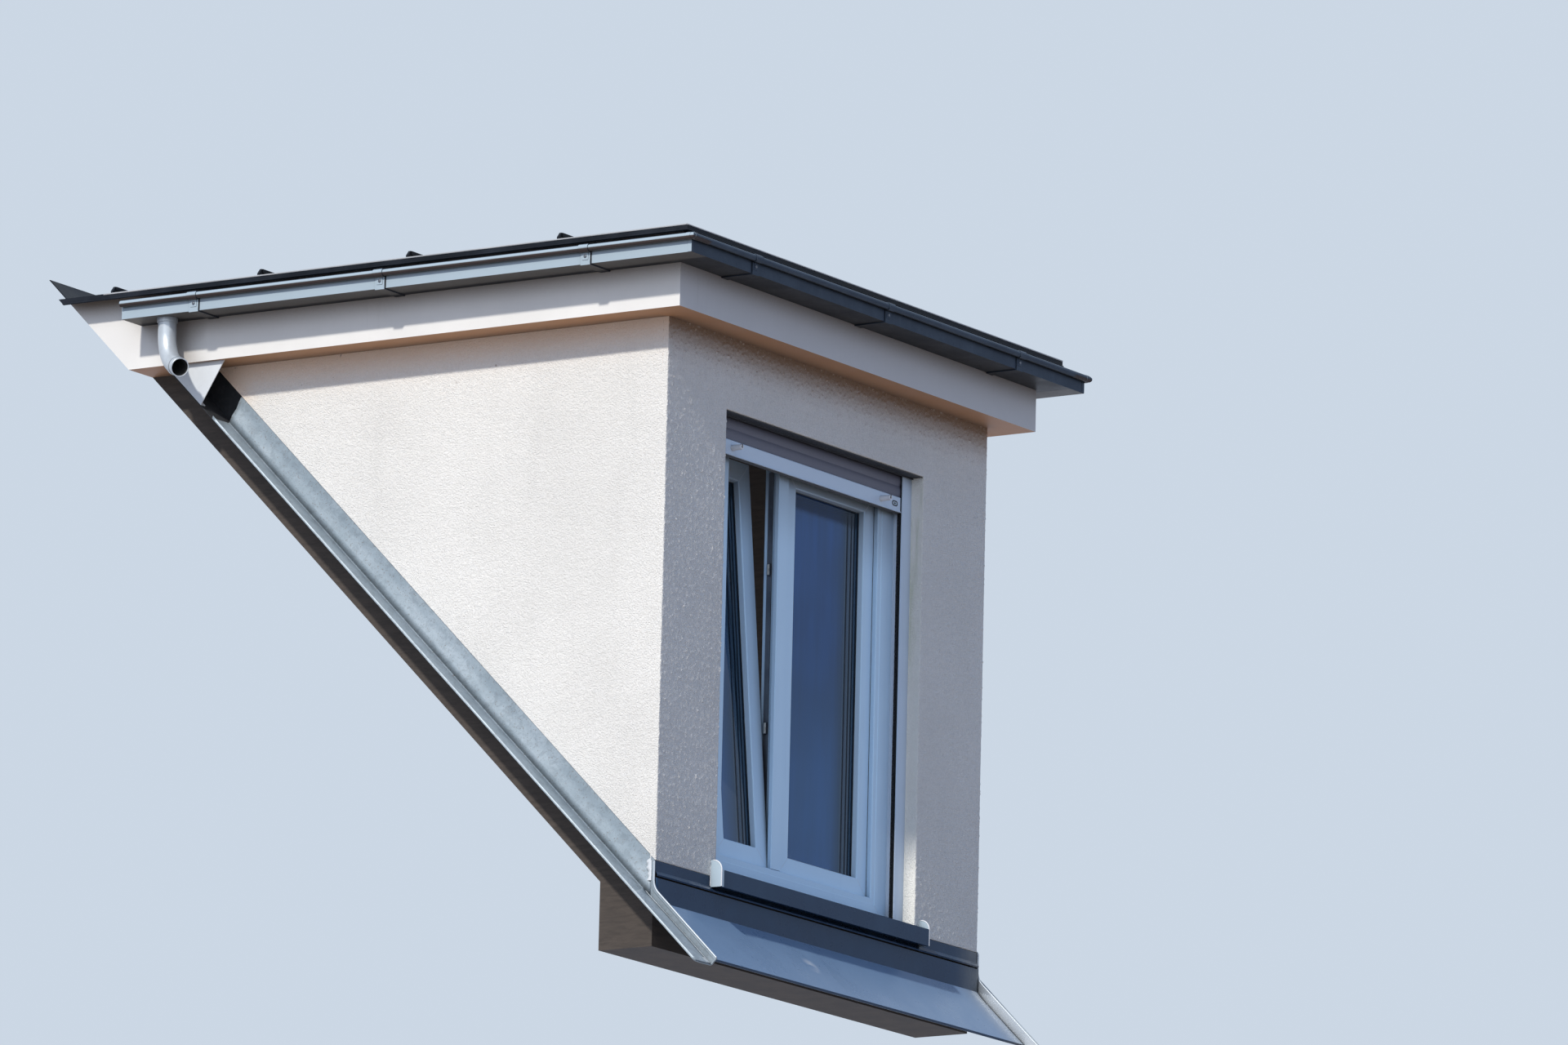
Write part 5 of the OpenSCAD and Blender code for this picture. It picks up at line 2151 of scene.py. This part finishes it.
    def solder(self, side: Side) -> None:
        """Makes the uneven solder run where the ear laps the band of the side flashing.

        Args:
            side: which flank.
        """
        form = Form(f"solder_run_{side.name.lower()}")
        count = 46
        (low, high), start = self.solder_span, self.solder_start
        rings = []
        for k in range(count + 1):
            z = low + (high - low) * k / count
            sway = ripple((0.0, 0.0, z), 38.0, 0.0070, 3.0 + side.value)
            wide = 1.05 + 0.9 * noise.noise(Vector((5.0, side.value, z * 52.0)))
            ring = []
            for y, x in self.solder_outline:
                spot = start + (y - start) * wide + (sway if y > start else 0.0)
                swell = ripple((y, z, 1.0), 90.0, 0.0006, side.value)
                ring.append(form.mesh.verts.new((side.value * (x + swell), PLACE.render_face + spot, z)))
            rings.append(ring)
        form.capped(rings)
        form.done(self.palette.made["solder"], "bright_zinc", smooth=True)

    def apron(self) -> None:
        """Makes the apron: out of the wall, down its face and out over the main roof."""
        form = Form("front_apron_sheet")
        half, face = self.half_sheet, -self.apron_set
        top, fold = self.apron_top - half, self.lift - self.apron_set
        steps = [self.apron_reach * k / 9 for k in range(1, 10)]
        slope = [(face - step + half * 0.7, fold - step - half * 0.7) for step in steps]
        upright = [(face + half, z) for z in self.apron_heights]
        line = [(0.020, top), (-0.002, top), *upright, *slope, self.apron_hem]
        rings = []
        for k in range(self.steps + 1):
            x = self.apron_half * (2.0 * k / self.steps - 1.0)
            ring = []
            for i, (along, z) in enumerate(line):
                off = ripple((x, along * 2.0, z), 5.0, self.dent * 1.1)
                off += ripple((x, along, z), 19.0, self.dent * 0.35)
                off *= 0.7 if 5 < i < len(line) - 2 else 0.175
                ring.append(form.mesh.verts.new((x, PLACE.render_face + along - off, z + off)))
            rings.append(ring)
        form.skin(rings, closed=False)
        form.done(self.palette.made["blue_sheet"], "blue_sheet", ("front_apron",), smooth=True, thick=0.003)


# Stage


@dataclass(frozen=True)
class Lamp:
    """One sun lamp: the way to it, its strength and its spread in degrees."""

    name: str
    way: Point3
    strength: float
    spread: float
    color: Point3

    def make(self) -> None:
        """Makes the lamp."""
        data = bpy.data.lights.new(self.name, "SUN")
        data.energy = self.strength
        data.angle = math.radians(self.spread)
        data.color = self.color
        lamp = bpy.data.objects.new(self.name, data)
        lamp.rotation_mode = "QUATERNION"
        lamp.rotation_quaternion = Vector(self.way).to_track_quat("Z", "Y")
        bpy.context.collection.objects.link(lamp)


@dataclass
class Stage:
    """Floor, world, a key lamp from the left, a wide soft fill and a weak warm bounce, and camera."""

    lamps: tuple[Lamp, ...] = (
        Lamp("key", (-1.0, -0.04, 0.90), 3.15, 3.0, (1.0, 0.97, 0.92)),
        Lamp("fill", (-1.0, -0.35, 0.25), 0.85, 80.0, (0.84, 0.90, 1.0)),
        Lamp("bounce", (-1.0, 0.05, -0.9), 0.85, 60.0, (1.0, 0.42, 0.15)),
    )
    sky: Point3 = (0.385, 0.585, 1.0)
    sky_strength: float = 0.52
    backdrop: Point3 = (0.60, 0.68, 0.78)
    floor_drop: float = 8.2
    floor_reach: float = 70.0
    floor_colors: tuple[Point3, Point3] = ((0.70, 0.71, 0.73), (0.74, 0.75, 0.77))
    floor_bounce: Point3 = (0.34, 0.28, 0.23)
    lens: float = 288.5
    camera_at: Point3 = (-33.413, -21.538, -6.549)
    right: Point3 = (0.5387, -0.8422, 0.0226)
    up: Point3 = (-0.1799, -0.0888, 0.9796)
    forward: Point3 = (0.8231, 0.5317, 0.1993)

    def build(self) -> None:
        """Makes the stage."""
        self.floor()
        self.world()
        for lamp in self.lamps:
            lamp.make()
        self.camera()

    def floor(self) -> None:
        """Makes a plain pale floor far below, as the camera looks up from near it."""
        mesh = bpy.data.meshes.new("floor")
        r = self.floor_reach
        z = -self.floor_drop
        mesh.from_pydata([(-r, -r, z), (r, -r, z), (r, r, z), (-r, r, z)], [], [(0, 1, 2, 3)])
        floor = bpy.data.objects.new("floor", mesh)
        bpy.context.collection.objects.link(floor)
        t = Tree("floor_paint")
        seen = t.blend(t.noise(0.8), *self.floor_colors)
        t.put("Base Color", t.blend(t.seen_straight(), self.floor_bounce, seen))
        t.put("Roughness", 0.9)
        self.show_from_above(t)
        mesh.materials.append(t.material)

    @staticmethod
    def show_from_above(t: Tree) -> None:
        """Lets a view from below the floor look through it.

        Args:
            t: node tree of the floor.
        """
        clear = t.nodes.new("ShaderNodeBsdfTransparent")
        mix = t.nodes.new("ShaderNodeMixShader")
        t.link(t.nodes.new("ShaderNodeNewGeometry").outputs["Backfacing"], mix.inputs["Fac"])
        t.link(t.shader.outputs["BSDF"], mix.inputs[1])
        t.link(clear.outputs["BSDF"], mix.inputs[2])
        t.link(mix.outputs["Shader"], t.nodes["Material Output"].inputs["Surface"])

    def world(self) -> None:
        """Makes an even sky that lights softly and shows as a pale backdrop."""
        world = bpy.data.worlds.new("studio")
        bpy.context.scene.world = world
        world.use_nodes = True
        nodes, links = world.node_tree.nodes, world.node_tree.links
        nodes.clear()
        out = nodes.new("ShaderNodeOutputWorld")
        mix = nodes.new("ShaderNodeMixShader")
        for socket, color, strength in ((1, self.sky, self.sky_strength), (2, self.backdrop, 1.0)):
            background = nodes.new("ShaderNodeBackground")
            background.inputs["Color"].default_value = (*color, 1.0)
            background.inputs["Strength"].default_value = strength
            links.new(background.outputs[0], mix.inputs[socket])
        path = nodes.new("ShaderNodeLightPath")
        factor = path.outputs["Is Camera Ray"]
        for kind in ("Is Glossy Ray", "Is Transmission Ray"):
            either = nodes.new("ShaderNodeMath")
            either.operation = "MAXIMUM"
            links.new(factor, either.inputs[0])
            links.new(path.outputs[kind], either.inputs[1])
            factor = either.outputs[0]
        links.new(factor, mix.inputs["Fac"])
        links.new(mix.outputs[0], out.inputs["Surface"])

    def camera(self) -> None:
        """Makes the camera at the photograph's place."""
        data = bpy.data.cameras.new("camera")
        data.lens = self.lens
        data.sensor_width = 36.0
        data.clip_end = 500.0
        camera = bpy.data.objects.new("camera", data)
        axes = Matrix((self.right, self.up, tuple(-v for v in self.forward))).transposed()
        camera.matrix_world = Matrix.Translation(self.camera_at) @ axes.to_4x4()
        bpy.context.collection.objects.link(camera)
        bpy.context.scene.camera = camera
        bpy.context.scene.view_settings.view_transform = "Standard"


def main() -> None:
    """Builds the scene in order."""
    logging.basicConfig(level=logging.INFO, format="%(message)s")
    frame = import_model()
    Stage().build()
    palette = Palette()
    palette.build()
    palette.dress_frame(frame)
    LOG.info("finishes: %d", len(palette.made))
    for assembly in (RenderCoat, Gutters, Outlets, RoofCover, Glazing, Shutter, SillDetail, Flashings):
        assembly(palette).build()
        LOG.info("%s done", assembly.__name__)


if __name__ == "__main__":
    main()
